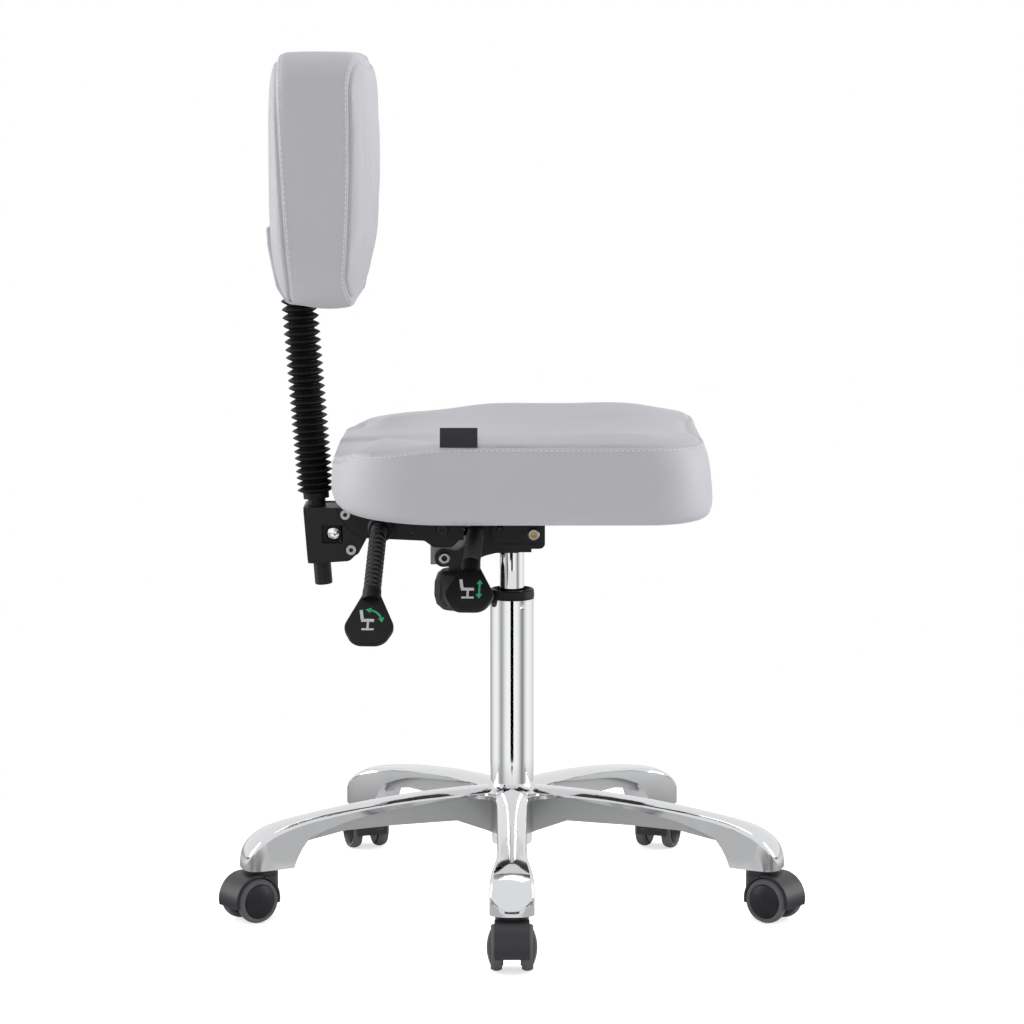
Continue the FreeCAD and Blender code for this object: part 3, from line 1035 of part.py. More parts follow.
os.makedirs("parts", exist_ok=True)
for name in sorted(nodes):
    shape = nodes[name]
    if not shape.isValid() or not shape.Solids:
        print("check", name, shape.isValid(), len(shape.Solids))
    shape.exportStep("parts/" + name + ".step")
print(len(nodes), "nodes written")
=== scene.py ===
# %% [markdown]
# # A medical stool, dressed for the camera
# The stool's steel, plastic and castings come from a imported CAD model. This lesson adds what CAD
# leaves out: soft covers with seams and stitches, finishes with grain and gloss, small printed marks,
# and a plain studio. Every piece is in metres and in the model's own frame, with +Z up, +X to the
# front of the stool, and the floor at zero.

# %% Load the model as a fixed frame
import json
import math
import bpy
import bmesh
import numpy as np
from mathutils import Matrix, Vector
from mathutils.bvhtree import BVHTree


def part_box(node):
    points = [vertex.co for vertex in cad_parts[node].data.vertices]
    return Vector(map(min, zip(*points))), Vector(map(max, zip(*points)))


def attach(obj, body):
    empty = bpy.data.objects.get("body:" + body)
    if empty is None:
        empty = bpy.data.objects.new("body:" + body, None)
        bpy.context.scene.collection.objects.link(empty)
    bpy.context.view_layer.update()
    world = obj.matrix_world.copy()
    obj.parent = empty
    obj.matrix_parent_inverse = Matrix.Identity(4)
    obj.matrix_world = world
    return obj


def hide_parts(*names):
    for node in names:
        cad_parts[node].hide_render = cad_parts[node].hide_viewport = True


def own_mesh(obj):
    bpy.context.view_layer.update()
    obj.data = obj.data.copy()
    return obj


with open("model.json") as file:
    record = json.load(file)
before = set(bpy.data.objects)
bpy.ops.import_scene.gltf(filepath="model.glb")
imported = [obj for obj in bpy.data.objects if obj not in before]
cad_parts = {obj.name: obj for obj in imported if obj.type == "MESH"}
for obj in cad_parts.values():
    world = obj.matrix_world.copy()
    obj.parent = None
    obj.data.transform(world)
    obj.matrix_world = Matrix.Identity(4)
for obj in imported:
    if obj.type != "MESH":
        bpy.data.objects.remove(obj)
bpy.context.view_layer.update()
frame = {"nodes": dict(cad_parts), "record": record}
nodes = frame["nodes"]
scene = bpy.context.scene

# %% [markdown]
# ## The camera
# The picture was taken from the stool's right side with a long lens, a little above the seat, so the
# camera looks along +Y and dips by less than eight degrees. A dipped camera needs no lens shift, and
# other views of the stool then stay centred.

# %% Place the camera
CAMERA_BACK = 3.800
CAMERA_HIGH = 0.9621
CAMERA_DIP = 0.13457
lens_data = bpy.data.cameras.new("studio_camera")
lens_data.sensor_width = 36.0
lens_data.lens = 118.93
lens_data.clip_end = 60.0
camera = bpy.data.objects.new("studio_camera", lens_data)
scene.collection.objects.link(camera)
camera.location = (0.0, -CAMERA_BACK, CAMERA_HIGH)
camera.rotation_euler = (math.pi / 2 - CAMERA_DIP, 0.0, 0.0)
scene.camera = camera
print("camera", tuple(round(c, 3) for c in camera.location))

# %% [markdown]
# ## Helpers
# The first few select objects and put a finished object's place into its mesh. The others build node
# trees: each adds one kind of node with its links, so that a finish reads as a short list of steps.

# %% Helpers for modelling
def deselect():
    """Leaves edit mode and selects nothing."""
    if bpy.context.mode != "OBJECT":
        bpy.ops.object.mode_set(mode="OBJECT")
    bpy.ops.object.select_all(action="DESELECT")


def work_on(piece):
    """Makes one object the only selected and active one."""
    deselect()
    piece.select_set(True)
    bpy.context.view_layer.objects.active = piece
    return piece


def settle(piece):
    """Puts a finished object's place, turn and size into its mesh."""
    work_on(piece)
    bpy.ops.object.transform_apply(location=True, rotation=True, scale=True)
    return piece


print("modelling helpers ready")

# %% Helpers for node trees
WHITE = (1.0, 1.0, 1.0, 1.0)


def put(tree, socket, source):
    """Sets a socket to a plain value or links it to another node's output."""
    if isinstance(source, (int, float, tuple)):
        socket.default_value = source
    else:
        tree.links.new(source, socket)


def grower(tree):
    """A function that adds nodes to this tree, with their settings and links."""
    def add(kind, links=(), **values):
        node = tree.nodes.new(kind)
        for key, value in values.items():
            setattr(node, key, value)
        for socket, source in links:
            put(tree, node.inputs[socket], source)
        return node

    return add


def finish_named(name):
    """A new material with its tree, its shader and the function that adds nodes."""
    made = bpy.data.materials.new(name)
    made.use_nodes = True
    tree = made.node_tree
    shader = next(n for n in tree.nodes if n.type == "BSDF_PRINCIPLED")
    return made, tree, shader, grower(tree)


def surface_of(tree):
    """The socket that takes a material's surface."""
    return next(n for n in tree.nodes if n.type == "OUTPUT_MATERIAL").inputs[0]


def wear(tree, shader, inputs):
    """Sets or links the shader's inputs by name."""
    for key, source in inputs.items():
        put(tree, shader.inputs[key], source)


def rgba(colour):
    """A colour of three numbers with full alpha; a socket stays as it is."""
    return (*colour, 1.0) if isinstance(colour, tuple) else colour


def noise(add, vector, scale, detail):
    """A noise node; its first output is the value."""
    return add("ShaderNodeTexNoise", [("Vector", vector), ("Scale", scale), ("Detail", detail)])


def blend(add, share, one, two):
    """Mixes two colours by a share."""
    links = [(0, share), (6, rgba(one)), (7, rgba(two))]
    return add("ShaderNodeMix", links, data_type="RGBA").outputs[2]


def spread(add, source, ends):
    """Spreads the middle of a noise over a range."""
    links = [(0, source), (1, 0.3), (2, 0.7), (3, ends[0]), (4, ends[1])]
    return add("ShaderNodeMapRange", links).outputs[0]


def maths(add, kind, one, two):
    """One step of arithmetic or comparison."""
    return add("ShaderNodeMath", [(0, one), (1, two)], operation=kind).outputs[0]


def relief(add, height, strength, distance):
    """Turns a height into a bumped normal."""
    links = [("Height", height), ("Strength", strength), ("Distance", distance)]
    return add("ShaderNodeBump", links).outputs[0]


def object_place(add):
    """The place on the piece, in its own coordinates."""
    return add("ShaderNodeTexCoord").outputs["Object"]


print("node helpers ready")

# %% [markdown]
# ## Floor and light
# The studio is white all round. The floor keeps the stool's soft shadow, and only what the camera
# sees of it is lifted to white, so the light on the stool stays at a plain level.

# %% Air and floor
AIR_LIGHT = 0.44
FLOOR_LIFT = 0.62
SHADOW_NEAR = 0.30
SHADOW_FAR = 0.85
scene.view_settings.view_transform = "Standard"
world = bpy.data.worlds.new("white_studio")
scene.world = world
world.use_nodes = True
world.node_tree.nodes.clear()
add = grower(world.node_tree)
ray = add("ShaderNodeLightPath").outputs
mirrored = maths(add, "MAXIMUM", ray["Is Glossy Ray"], ray["Is Transmission Ray"])
seen = maths(add, "MAXIMUM", ray["Is Camera Ray"], mirrored)
soft = add("ShaderNodeBackground", [("Color", WHITE), ("Strength", AIR_LIGHT)])
white = add("ShaderNodeBackground", [("Color", WHITE), ("Strength", 1.0)])
either = add("ShaderNodeMixShader", [(0, seen), (1, soft.outputs[0]), (2, white.outputs[0])])
add("ShaderNodeOutputWorld", [(0, either.outputs[0])])

deselect()
bpy.ops.mesh.primitive_plane_add(size=40.0, location=(0.0, 0.0, -0.0005))
floor = bpy.context.object
floor.name = "floor"
floor_mat, tree, shader, add = finish_named("pale_floor")
wear(tree, shader, {"Base Color": (0.9, 0.9, 0.9, 1.0), "Roughness": 0.8, "Specular IOR Level": 0.1})
lift = add("ShaderNodeEmission", [("Color", WHITE), ("Strength", FLOOR_LIFT)])
both = add("ShaderNodeAddShader", [(0, shader.outputs[0]), (1, lift.outputs[0])])
away = add("ShaderNodeVectorMath", [(0, object_place(add))], operation="LENGTH")
far_off = add("ShaderNodeMapRange", [(0, away.outputs["Value"]), (1, SHADOW_NEAR), (2, SHADOW_FAR)],
              interpolation_type="SMOOTHSTEP")
bright = add("ShaderNodeEmission", [("Color", WHITE), ("Strength", 1.0)])
faded = add("ShaderNodeMixShader",
            [(0, far_off.outputs[0]), (1, both.outputs[0]), (2, bright.outputs[0])])
ray = add("ShaderNodeLightPath").outputs
pick = add("ShaderNodeMixShader",
           [(0, ray["Is Camera Ray"]), (1, shader.outputs[0]), (2, faded.outputs[0])])
tree.links.new(pick.outputs[0], surface_of(tree))
floor.data.materials.append(floor_mat)
print("floor ready")


# %% Soft boxes
def lamp(name, place, aim, size, watts):
    """A soft box: an area lamp of the given width and height, turned to a point."""
    data = bpy.data.lights.new(name, "AREA")
    data.shape = "RECTANGLE"
    data.size, data.size_y = size
    data.energy = watts
    box = bpy.data.objects.new(name, data)
    scene.collection.objects.link(box)
    box.location = place
    box.rotation_euler = (Vector(aim) - Vector(place)).to_track_quat("-Z", "Y").to_euler()
    return box


lamp("soft_box_left", (-2.6, 0.1, 1.3), (0.0, 0.0, 0.5), (1.2, 2.2), 42)
lamp("soft_box_right", (2.6, 0.1, 1.3), (0.0, 0.0, 0.6), (1.2, 2.2), 46)
lamp("soft_box_top", (0.2, 0.6, 3.2), (0.0, 0.0, 0.5), (2.0, 2.0), 11)
front_box = lamp("soft_box_front", (-0.5, -3.2, 1.7), (0.0, 0.0, 0.6), (2.2, 2.2), 25)
front_box.visible_glossy = False
print("soft boxes", len(bpy.data.lights))

# %% [markdown]
# ## Cards for the chrome
# Chrome shows nothing but its surroundings, and without dark things round it a polished tube would be
# a white stripe. The camera looks down a little, so an upright tube mirrors the floor: fans in soft
# greys with one black slot lie there, which only reflections see. Two more under the seat keep its
# shade out of the near arm, and low dark cards far off give the base's rounded edges their thin dark
# lines. Two small cards beside the near caster hide its black from the toes on either side.

# %% Flat fans
def only_mirrored(made):
    """Makes an object one that only reflections see, glowing in its own shades."""
    made.visible_camera = False
    made.visible_diffuse = False
    made.visible_shadow = False
    paint, tree, _, add = finish_named(made.name)
    tones = add("ShaderNodeAttribute", attribute_name="shade")
    glow = add("ShaderNodeEmission", [("Color", tones.outputs["Color"]), ("Strength", 1.0)])
    tree.links.new(glow.outputs[0], surface_of(tree))
    made.data.materials.append(paint)


def shade_points(mesh, tones):
    """Stores one grey for each point of a mesh."""
    layer = mesh.color_attributes.new("shade", "FLOAT_COLOR", "POINT")
    for spot, tone in zip(layer.data, tones):
        spot.color = (tone, tone, tone, 1.0)


def fan(name, near, far, high, degrees, shade):
    """A flat fan round the column, shaded by angle and reach. Zero degrees is the camera's side."""
    spots, tones = [], []
    for angle in degrees:
        turn = math.radians(angle)
        for reach in (near, far):
            spots.append((reach * math.sin(turn), -reach * math.cos(turn), high))
            tones.append(shade(angle, reach))
    faces = [(2 * k, 2 * k + 1, 2 * k + 3, 2 * k + 2) for k in range(len(degrees) - 1)]
    mesh = bpy.data.meshes.new(name)
    mesh.from_pydata(spots, [], faces)
    shade_points(mesh, tones)
    made = bpy.data.objects.new(name, mesh)
    scene.collection.objects.link(made)
    only_mirrored(made)


def dip(angle, centre, width):
    """A soft dip round one angle: 1 in its middle and 0 far off."""
    return math.exp(-((angle - centre) / width) ** 2)


def column_shade(angle, reach):
    """White, with a soft grey flag on either side and darker ends behind."""
    sides = 0.62 * dip(angle, -57, 17) + 0.72 * dip(angle, 54, 17)
    return max(0.0, 1.0 - sides - 0.58 * dip(angle, -146, 28) - 0.25 * dip(angle, 145, 30))


def arm_shade(angle, reach):
    """The column's shade far out, dark grey near the stool, and white before the near arm."""
    return column_shade(angle, reach) if reach > 0.5 else 0.20 + 0.7 * dip(angle, 0, 14)


FAN_NEAR = 0.36
FAN_MIDDLE = 0.80
FAN_FAR = 3.6
FAN_HIGH = 0.0004
SLOT_HIGH = 0.0008
ALL_ROUND = range(-180, 181, 4)
fan("column_fan", FAN_MIDDLE, FAN_FAR, FAN_HIGH, ALL_ROUND, column_shade)
fan("arm_fan", FAN_NEAR, FAN_MIDDLE, FAN_HIGH, ALL_ROUND, arm_shade)
fan("dark_slot", FAN_MIDDLE, FAN_FAR, SLOT_HIGH, (-8.0, 8.0), lambda angle, reach: 0.0)
for tag, middle in (("front", 0), ("back", 180)):
    fan("white_under_seat_" + tag, 0.036, 0.21, 0.352, range(middle - 36, middle + 37, 12),
        lambda angle, reach: 0.85)
print("fans ready")


# %% Upright cards
def upright(name, place, degrees, wide, high, shade):
    """A card of one shade that stands on the floor at a place, turned about the upright."""
    deselect()
    bpy.ops.mesh.primitive_plane_add(size=1.0)
    made = bpy.context.object
    made.name = name
    made.scale = (wide, high, 1.0)
    made.rotation_euler = (math.pi / 2, 0.0, math.radians(degrees))
    made.location = (place[0], place[1], high / 2)
    shade_points(made.data, [shade] * len(made.data.vertices))
    only_mirrored(made)


HORIZON_FAR = 4.4
for k, degrees in enumerate((-98, -50, 50, 98)):
    turn = math.radians(degrees)
    spot = (HORIZON_FAR * math.sin(turn), -HORIZON_FAR * math.cos(turn))
    upright("horizon_card_" + str(k), spot, degrees, 3.3, 0.36, 0.16)
for tag, x in (("left", -0.047), ("right", 0.047)):
    upright("caster_card_" + tag, (x, -0.275), 90.0, 0.18, 0.064, 0.62)
print("studio ready")

# %% [markdown]
# ## Finishes for metal and plastic
# No real surface is one flat colour. Moulded plastic has a fine sandblasted grain, powder coat has a
# slight orange peel, and zinc shows brushed streaks. One helper mixes two close colours and two
# roughness values by noise in the piece's own coordinates and adds a little bump, so each finish is
# one short call.

# %% A grained finish
PEEL_DEPTH = 0.0002
EVEN = (1.0, 1.0, 1.0)


def grained(name, dark, light, scale, rough, bump=0.15, metal=0.0, stretch=EVEN, gleam=0.5):
    """Colour and roughness drift between two values, with a fine bump on top."""
    made, tree, shader, add = finish_named(name)
    sized = add("ShaderNodeMapping", [("Vector", object_place(add)), ("Scale", stretch)]).outputs[0]
    broad = noise(add, sized, scale * 0.06, 3.0).outputs[0]
    fine = noise(add, sized, scale, 4.0).outputs[0]
    wear(tree, shader, {"Base Color": blend(add, broad, dark, light),
                        "Roughness": spread(add, fine, rough),
                        "Normal": relief(add, fine, bump, PEEL_DEPTH),
                        "Metallic": metal, "Specular IOR Level": gleam})
    return made


print("peel is", 1000 * PEEL_DEPTH, "mm deep")

# %% Plastics, rubbers and coats
black_coat = grained("black_powder_coat", (0.006, 0.006, 0.007), (0.011, 0.011, 0.012), 700,
                     (0.34, 0.5), gleam=0.3)
black_mould = grained("black_moulded_plastic", (0.004, 0.004, 0.005), (0.008, 0.008, 0.009), 1400,
                      (0.38, 0.5), 0.2, gleam=0.22)
knob_mould = grained("dark_knob_plastic", (0.010, 0.010, 0.010), (0.016, 0.016, 0.016), 1400,
                     (0.42, 0.55), 0.25, gleam=0.3)
hood_mould = grained("caster_hood_plastic", (0.015, 0.015, 0.018), (0.024, 0.024, 0.028), 1600,
                     (0.34, 0.46), 0.25, gleam=0.4)
cap_mould = grained("wheel_cap_plastic", (0.006, 0.006, 0.009), (0.010, 0.010, 0.014), 1600,
                    (0.30, 0.42), 0.2, gleam=0.3)
tread = grained("grey_tread", (0.085, 0.087, 0.092), (0.115, 0.117, 0.123), 900,
                (0.55, 0.7), 0.3, gleam=0.3)
grip = grained("grip_rubber", (0.004, 0.004, 0.005), (0.008, 0.008, 0.009), 1100,
               (0.26, 0.38), 0.2, gleam=0.5)
fold_rubber = grained("bellows_rubber", (0.003, 0.003, 0.004), (0.006, 0.006, 0.007), 900,
                      (0.42, 0.58), 0.25, gleam=0.25)
ply = grained("plywood", (0.030, 0.029, 0.028), (0.042, 0.040, 0.038), 300,
              (0.55, 0.7), 0.3, stretch=(0.15, 1.0, 1.0))
zinc = grained("zinc_plate", (0.55, 0.55, 0.53), (0.68, 0.67, 0.64), 500,
               (0.24, 0.4), 0.1, metal=1.0)
dull_zinc = grained("dull_zinc", (0.22, 0.22, 0.21), (0.30, 0.30, 0.29), 500,
                    (0.35, 0.5), 0.1, metal=1.0)
spring_steel = grained("spring_steel", (0.22, 0.22, 0.23), (0.32, 0.32, 0.33), 600,
                       (0.3, 0.45), 0.1, metal=1.0)
print("finishes so far", len(bpy.data.materials))


# %% Bolts with painted socket shade and spots of another finish
def bolt_finish(name, spots):
    """Zinc plate, except round some places as seen from the side: painted shade in the hex sockets,
    and another finish elsewhere.
    """
    made, tree, shader, add = finish_named(name)
    place = object_place(add)
    flat = add("ShaderNodeVectorMath", [(0, place), (1, (1.0, 0.0, 1.0))], operation="MULTIPLY")
    streak = noise(add, place, 500.0, 4.0).outputs[0]
    tint = blend(add, streak, (0.50, 0.50, 0.48), (0.62, 0.61, 0.58))
    steel = 1.0
    for x, z, radius, colour, metal in spots:
        gap = add("ShaderNodeVectorMath", [(0, flat.outputs[0]), (1, (x, 0.0, z))],
                  operation="DISTANCE")
        near = maths(add, "LESS_THAN", gap.outputs["Value"], radius)
        tint = blend(add, near, tint, colour)
        steel = add("ShaderNodeMix", [(0, near), (2, steel), (3, metal)]).outputs[0]
    wear(tree, shader, {"Base Color": tint, "Metallic": steel,
                        "Roughness": spread(add, streak, (0.24, 0.42))})
    return made


# Painted shade: a dark spot in each hex socket stands in for the shadow inside the recess.
PAINTED_SOCKET_SHADE = (0.035, 0.035, 0.036)
BLACKED = (0.010, 0.010, 0.011)
BRASS = (0.62, 0.42, 0.16)
# Spots in the socket colour are painted shade in the hex sockets.
frame_bolt = bolt_finish("frame_bolt_zinc", [(-0.078, 0.435, 0.012, BLACKED, 0.0),
                                             (-0.1875, 0.449, 0.0024, PAINTED_SOCKET_SHADE, 1.0),
                                             (-0.181, 0.409, 0.0024, PAINTED_SOCKET_SHADE, 1.0)])
pivot_bolt = bolt_finish("pivot_bolt_zinc", [(0.0243, 0.429, 0.0036, BRASS, 1.0),
                                             (-0.076, 0.3995, 0.0034, PAINTED_SOCKET_SHADE, 1.0),
                                             (-0.0138, 0.4345, 0.004, BLACKED, 0.0)])
print("bolt finishes ready")

# %% [markdown]
# ## Chrome and polished aluminium
# Chrome is nearly a mirror with faint polishing haze. The base is one casting with two finishes: its
# tops and skirts are polished, while the webs below are left as they were blasted. A mask picks the
# blasted part from the way a face looks and how near it lies to an arm's middle line, which is worked
# out from the angle round the column.

# %% Chrome
def mirror_metal(name, colour, rough):
    """A polished metal with faint haze; also returns the sockets that another finish mixes with."""
    made, tree, shader, add = finish_named(name)
    haze = noise(add, object_place(add), 18.0, 3.0).outputs[0]
    dull = spread(add, haze, rough)
    tone = blend(add, haze, tuple(c * 0.97 for c in colour), colour)
    wear(tree, shader, {"Base Color": tone, "Roughness": dull, "Metallic": 1.0})
    return made, tree, shader, add, dull, tone


chrome = mirror_metal("bright_chrome", (0.89, 0.895, 0.905), (0.03, 0.06))[0]
print("chrome ready")

# %% Polished and blasted aluminium
HALF_ARM_ANGLE = math.radians(36.0)
WEB_HALF = 0.0095
HUB_REACH = 0.034
WEB_REACH = 0.250
cast, tree, shader, add, dull, tone = mirror_metal("polished_casting", (0.70, 0.705, 0.715),
                                                   (0.07, 0.11))
place = object_place(add)
apart = add("ShaderNodeSeparateXYZ", [("Vector", place)]).outputs
turn = maths(add, "ARCTAN2", apart["Y"], apart["X"])
shifted = maths(add, "ADD", turn, math.radians(90.0))
folded = add("ShaderNodeMath", [(0, shifted), (1, HALF_ARM_ANGLE), (2, -HALF_ARM_ANGLE)],
             operation="WRAP").outputs[0]
flat = add("ShaderNodeCombineXYZ", [("X", apart["X"]), ("Y", apart["Y"])])
reach = add("ShaderNodeVectorMath", [(0, flat.outputs[0])], operation="LENGTH").outputs["Value"]
sine = add("ShaderNodeMath", [(0, folded)], operation="SINE").outputs[0]
side = maths(add, "MULTIPLY", sine, reach)
off = add("ShaderNodeMath", [(0, side)], operation="ABSOLUTE").outputs[0]
near = maths(add, "LESS_THAN", off, WEB_HALF)
facing = add("ShaderNodeNewGeometry").outputs["Normal"]
tilt = add("ShaderNodeSeparateXYZ", [("Vector", facing)]).outputs["Z"]
below = maths(add, "LESS_THAN", tilt, 0.3)
at_hub = maths(add, "LESS_THAN", reach, HUB_REACH)
inner = maths(add, "MAXIMUM", near, at_hub)
short = maths(add, "LESS_THAN", reach, WEB_REACH)
blasted = maths(add, "MULTIPLY", maths(add, "MULTIPLY", inner, below), short)
sand = noise(add, place, 1500.0, 3.0).outputs[0]
grit = spread(add, sand, (0.38, 0.52))
satin = blend(add, sand, (0.40, 0.405, 0.41), (0.52, 0.525, 0.53))
rough_mix = add("ShaderNodeMix", [(0, blasted), (2, dull), (3, grit)]).outputs[0]
pits = maths(add, "MULTIPLY", sand, blasted)
wear(tree, shader, {"Roughness": rough_mix, "Base Color": blend(add, blasted, tone, satin),
                    "Normal": relief(add, pits, 0.3, 0.0003)})
print("metals ready")

# %% [markdown]
# ## Dress the CAD pieces
# A CAD piece whose shape is right stays as it is and only gets a finish. The finish is chosen by the
# record's own slot for that piece, so that the two never disagree. A few bolts and the saddle then
# get a finish of their own, and the bolts' hex sockets get painted shade.

# %% Give each CAD piece its finish
finish_of = {"polished_aluminium": cast, "chrome": chrome, "black_steel": black_coat,
             "black_plastic": black_mould, "knob_plastic": knob_mould, "grip_rubber": grip,
             "zinc_steel": zinc, "bellows_rubber": fold_rubber, "plywood": ply,
             "caster_plastic": hood_mould, "hub_plastic": cap_mould, "tyre_grey": tread}
for part in frame["record"]["subparts"]:
    if part["material_slot"] in finish_of:
        mesh = nodes[part["node"]].data
        mesh.materials.clear()
        mesh.materials.append(finish_of[part["material_slot"]])
own_finish = {"frame_bolts": frame_bolt, "carrier_bolts": pivot_bolt, "tension_saddle": dull_zinc}
for node, finish in own_finish.items():
    nodes[node].data.materials[0] = finish
print("dressed", sum(len(n.data.materials) > 0 for n in nodes.values()), "pieces")

# %% [markdown]
# ## Artificial leather
# The covers are a light grey coated cloth with a fine pebble grain. Voronoi cells about a millimetre
# across give the pebbles and noise breaks up their rows. Colour and gloss drift slowly over the panel,
# because a coated cloth is never quite even, and a little sheen softens the edges.

# %% The cover material
def leather_cover(name, dark, light):
    """Pebbled coated cloth between two close greys."""
    made, tree, shader, add = finish_named(name)
    place = object_place(add)
    wander = noise(add, place, 240.0, 2.0).outputs["Color"]
    nudge = add("ShaderNodeVectorMath", [(0, wander), (1, (0.0012, 0.0012, 0.0012))],
                operation="MULTIPLY")
    moved = add("ShaderNodeVectorMath", [(0, place), (1, nudge.outputs[0])], operation="ADD")
    pebble = add("ShaderNodeTexVoronoi", [("Vector", moved.outputs[0]), ("Scale", 950.0)],
                 feature="DISTANCE_TO_EDGE")
    grain = add("ShaderNodeMapRange", [(0, pebble.outputs["Distance"]), (2, 0.25)]).outputs[0]
    drift = noise(add, place, 9.0, 4.0).outputs[0]
    tint = blend(add, drift, dark, light)
    wear(tree, shader, {"Base Color": blend(add, grain, tuple(c * 0.93 for c in dark), tint),
                        "Roughness": spread(add, drift, (0.42, 0.52)),
                        "Normal": relief(add, grain, 0.22, 0.00025),
                        "Specular IOR Level": 0.35, "Sheen Weight": 0.08})
    return made


cover_grey = leather_cover("grey_cover", (0.492, 0.485, 0.520), (0.532, 0.525, 0.560))
thread = grained("pale_thread", (0.64, 0.64, 0.66), (0.76, 0.76, 0.78), 2500, (0.6, 0.75), 0.4)
print("cover and thread ready")

# %% [markdown]
# ## The seat cushion
# The seat is foam on a board under a sewn cover: a side band below, a shaped top above, joined by one
# stitched seam all round the rim. The CAD solid has the right form, so a copy of it is drawn in a
# little, remeshed into even faces and blown up by the cloth solver. Points on the seam and below the
# board's edge are pinned, and how far the rest may move is capped, so the panels swell between their
# seams as real foam does and the cushion keeps its size. The CAD solid dips at its two rear corners,
# and the copy is lifted there first, so that the rear edge runs even.

# %% Helpers for padded pieces
def copy_of(node, name):
    """A merged copy of a CAD piece's mesh as a new object."""
    made = bpy.data.objects.new(name, nodes[node].data.copy())
    scene.collection.objects.link(made)
    made.data.materials.clear()
    work_on(made)
    bpy.ops.object.mode_set(mode="EDIT")
    bpy.ops.mesh.select_all(action="SELECT")
    bpy.ops.mesh.remove_doubles(threshold=0.00002)
    bpy.ops.mesh.normals_make_consistent(inside=False)
    bpy.ops.object.mode_set(mode="OBJECT")
    return made


def apply_new(piece, kind, **values):
    """Adds a modifier with these values and applies it."""
    work_on(piece)
    added = piece.modifiers.new(kind.lower(), kind)
    for key, value in values.items():
        setattr(added, key, value)
    bpy.ops.object.modifier_apply(modifier=added.name)


def points_of(piece):
    """The mesh's points as an array."""
    flat_list = np.zeros(len(piece.data.vertices) * 3)
    piece.data.vertices.foreach_get("co", flat_list)
    return flat_list.reshape(-1, 3)


def set_points(piece, points):
    """Writes the points back into the mesh."""
    piece.data.vertices.foreach_set("co", points.astype(np.float32).ravel())
    piece.data.update()


def draw_in(piece, depth, share):
    """Moves the skin inwards along its normals, by a share of the depth along each axis."""
    facing = np.zeros(len(piece.data.vertices) * 3)
    piece.data.vertices.foreach_get("normal", facing)
    set_points(piece, points_of(piece) - facing.reshape(-1, 3) * (depth * np.array(share)))


def puff(piece, held, pressure, cap, frames=20):
    """Blows the piece up with the cloth solver; held is each point's pin weight."""
    group = piece.vertex_groups.new(name="held")
    for weight in (0.3, 0.6, 1.0):
        some = np.nonzero((held > weight - 0.31) & (held <= weight))[0]
        group.add([int(i) for i in some], weight, "REPLACE")
    before = points_of(piece)
    work_on(piece)
    cloth = piece.modifiers.new("cloth", "CLOTH")
    cloth.settings.vertex_group_mass = "held"
    cloth.settings.use_pressure = True
    cloth.settings.uniform_pressure_force = pressure
    cloth.settings.effector_weights.gravity = 0.0
    cloth.settings.bending_stiffness = 2.0
    cloth.collision_settings.use_collision = False
    cloth.point_cache.frame_end = frames
    for f in range(1, frames + 1):
        scene.frame_set(f)
    bpy.ops.object.modifier_apply(modifier="cloth")
    scene.frame_set(1)
    move = points_of(piece) - before
    far = np.linalg.norm(move, axis=1)
    set_points(piece, before + move * np.minimum(1.0, cap / np.maximum(far, 1e-9))[:, None])
    piece.vertex_groups.clear()
    print(piece.name, "swelled by up to", round(1000 * min(cap, far.max()), 1), "mm")


print("padding helpers ready")

# %% Seat form before the seam
SEAT_HALF_X = 0.2105
SEAT_HALF_Y = 0.210
SEAT_MID_X = 0.0105
SEAT_ROUND = 0.080
BOARD_EDGE_Z = 0.474
RIM_Z = 0.5358
RIM_STEP = 0.0092
REAR_DROP = 0.0143
REAR_X = -0.15
CORNER_LIFT = 0.0072
CORNER_Y = 0.141
SEAT_DRAW_IN = 0.0022
SEAT_SWELL = 0.0031
VOXEL = 0.005
PRESSURE = 4.0


def seat_depth(points):
    """How far outside the seat's rounded outline each point lies in plan; inside is negative."""
    straight = (SEAT_HALF_X - SEAT_ROUND, SEAT_HALF_Y - SEAT_ROUND)
    q = np.abs(points[:, :2] - (SEAT_MID_X, 0.0)) - straight
    outer = np.linalg.norm(np.maximum(q, 0.0), axis=1)
    return outer + np.minimum(q.max(axis=1), 0.0) - SEAT_ROUND


def ease(share):
    """A smooth rise from 0 to 1."""
    t = np.clip(share, 0.0, 1.0)
    return t * t * (3.0 - 2.0 * t)


def rim_height(points):
    """Height of the rim seam at each point: lowest along the rear edge, a step up, then level."""
    step = RIM_STEP * ease((points[:, 0] + 0.165) / 0.110)
    drop = REAR_DROP * ease((-0.168 - points[:, 0]) / 0.025)
    return RIM_Z + step - drop


def at_rim(points):
    """Only points near the seat's outline, in a narrower band behind, not the hollow in its middle."""
    return seat_depth(points) > np.where(points[:, 0] < REAR_X, -0.014, -0.034)


print("seat rim is", 2 * SEAT_HALF_X, "by", 2 * SEAT_HALF_Y, "m")

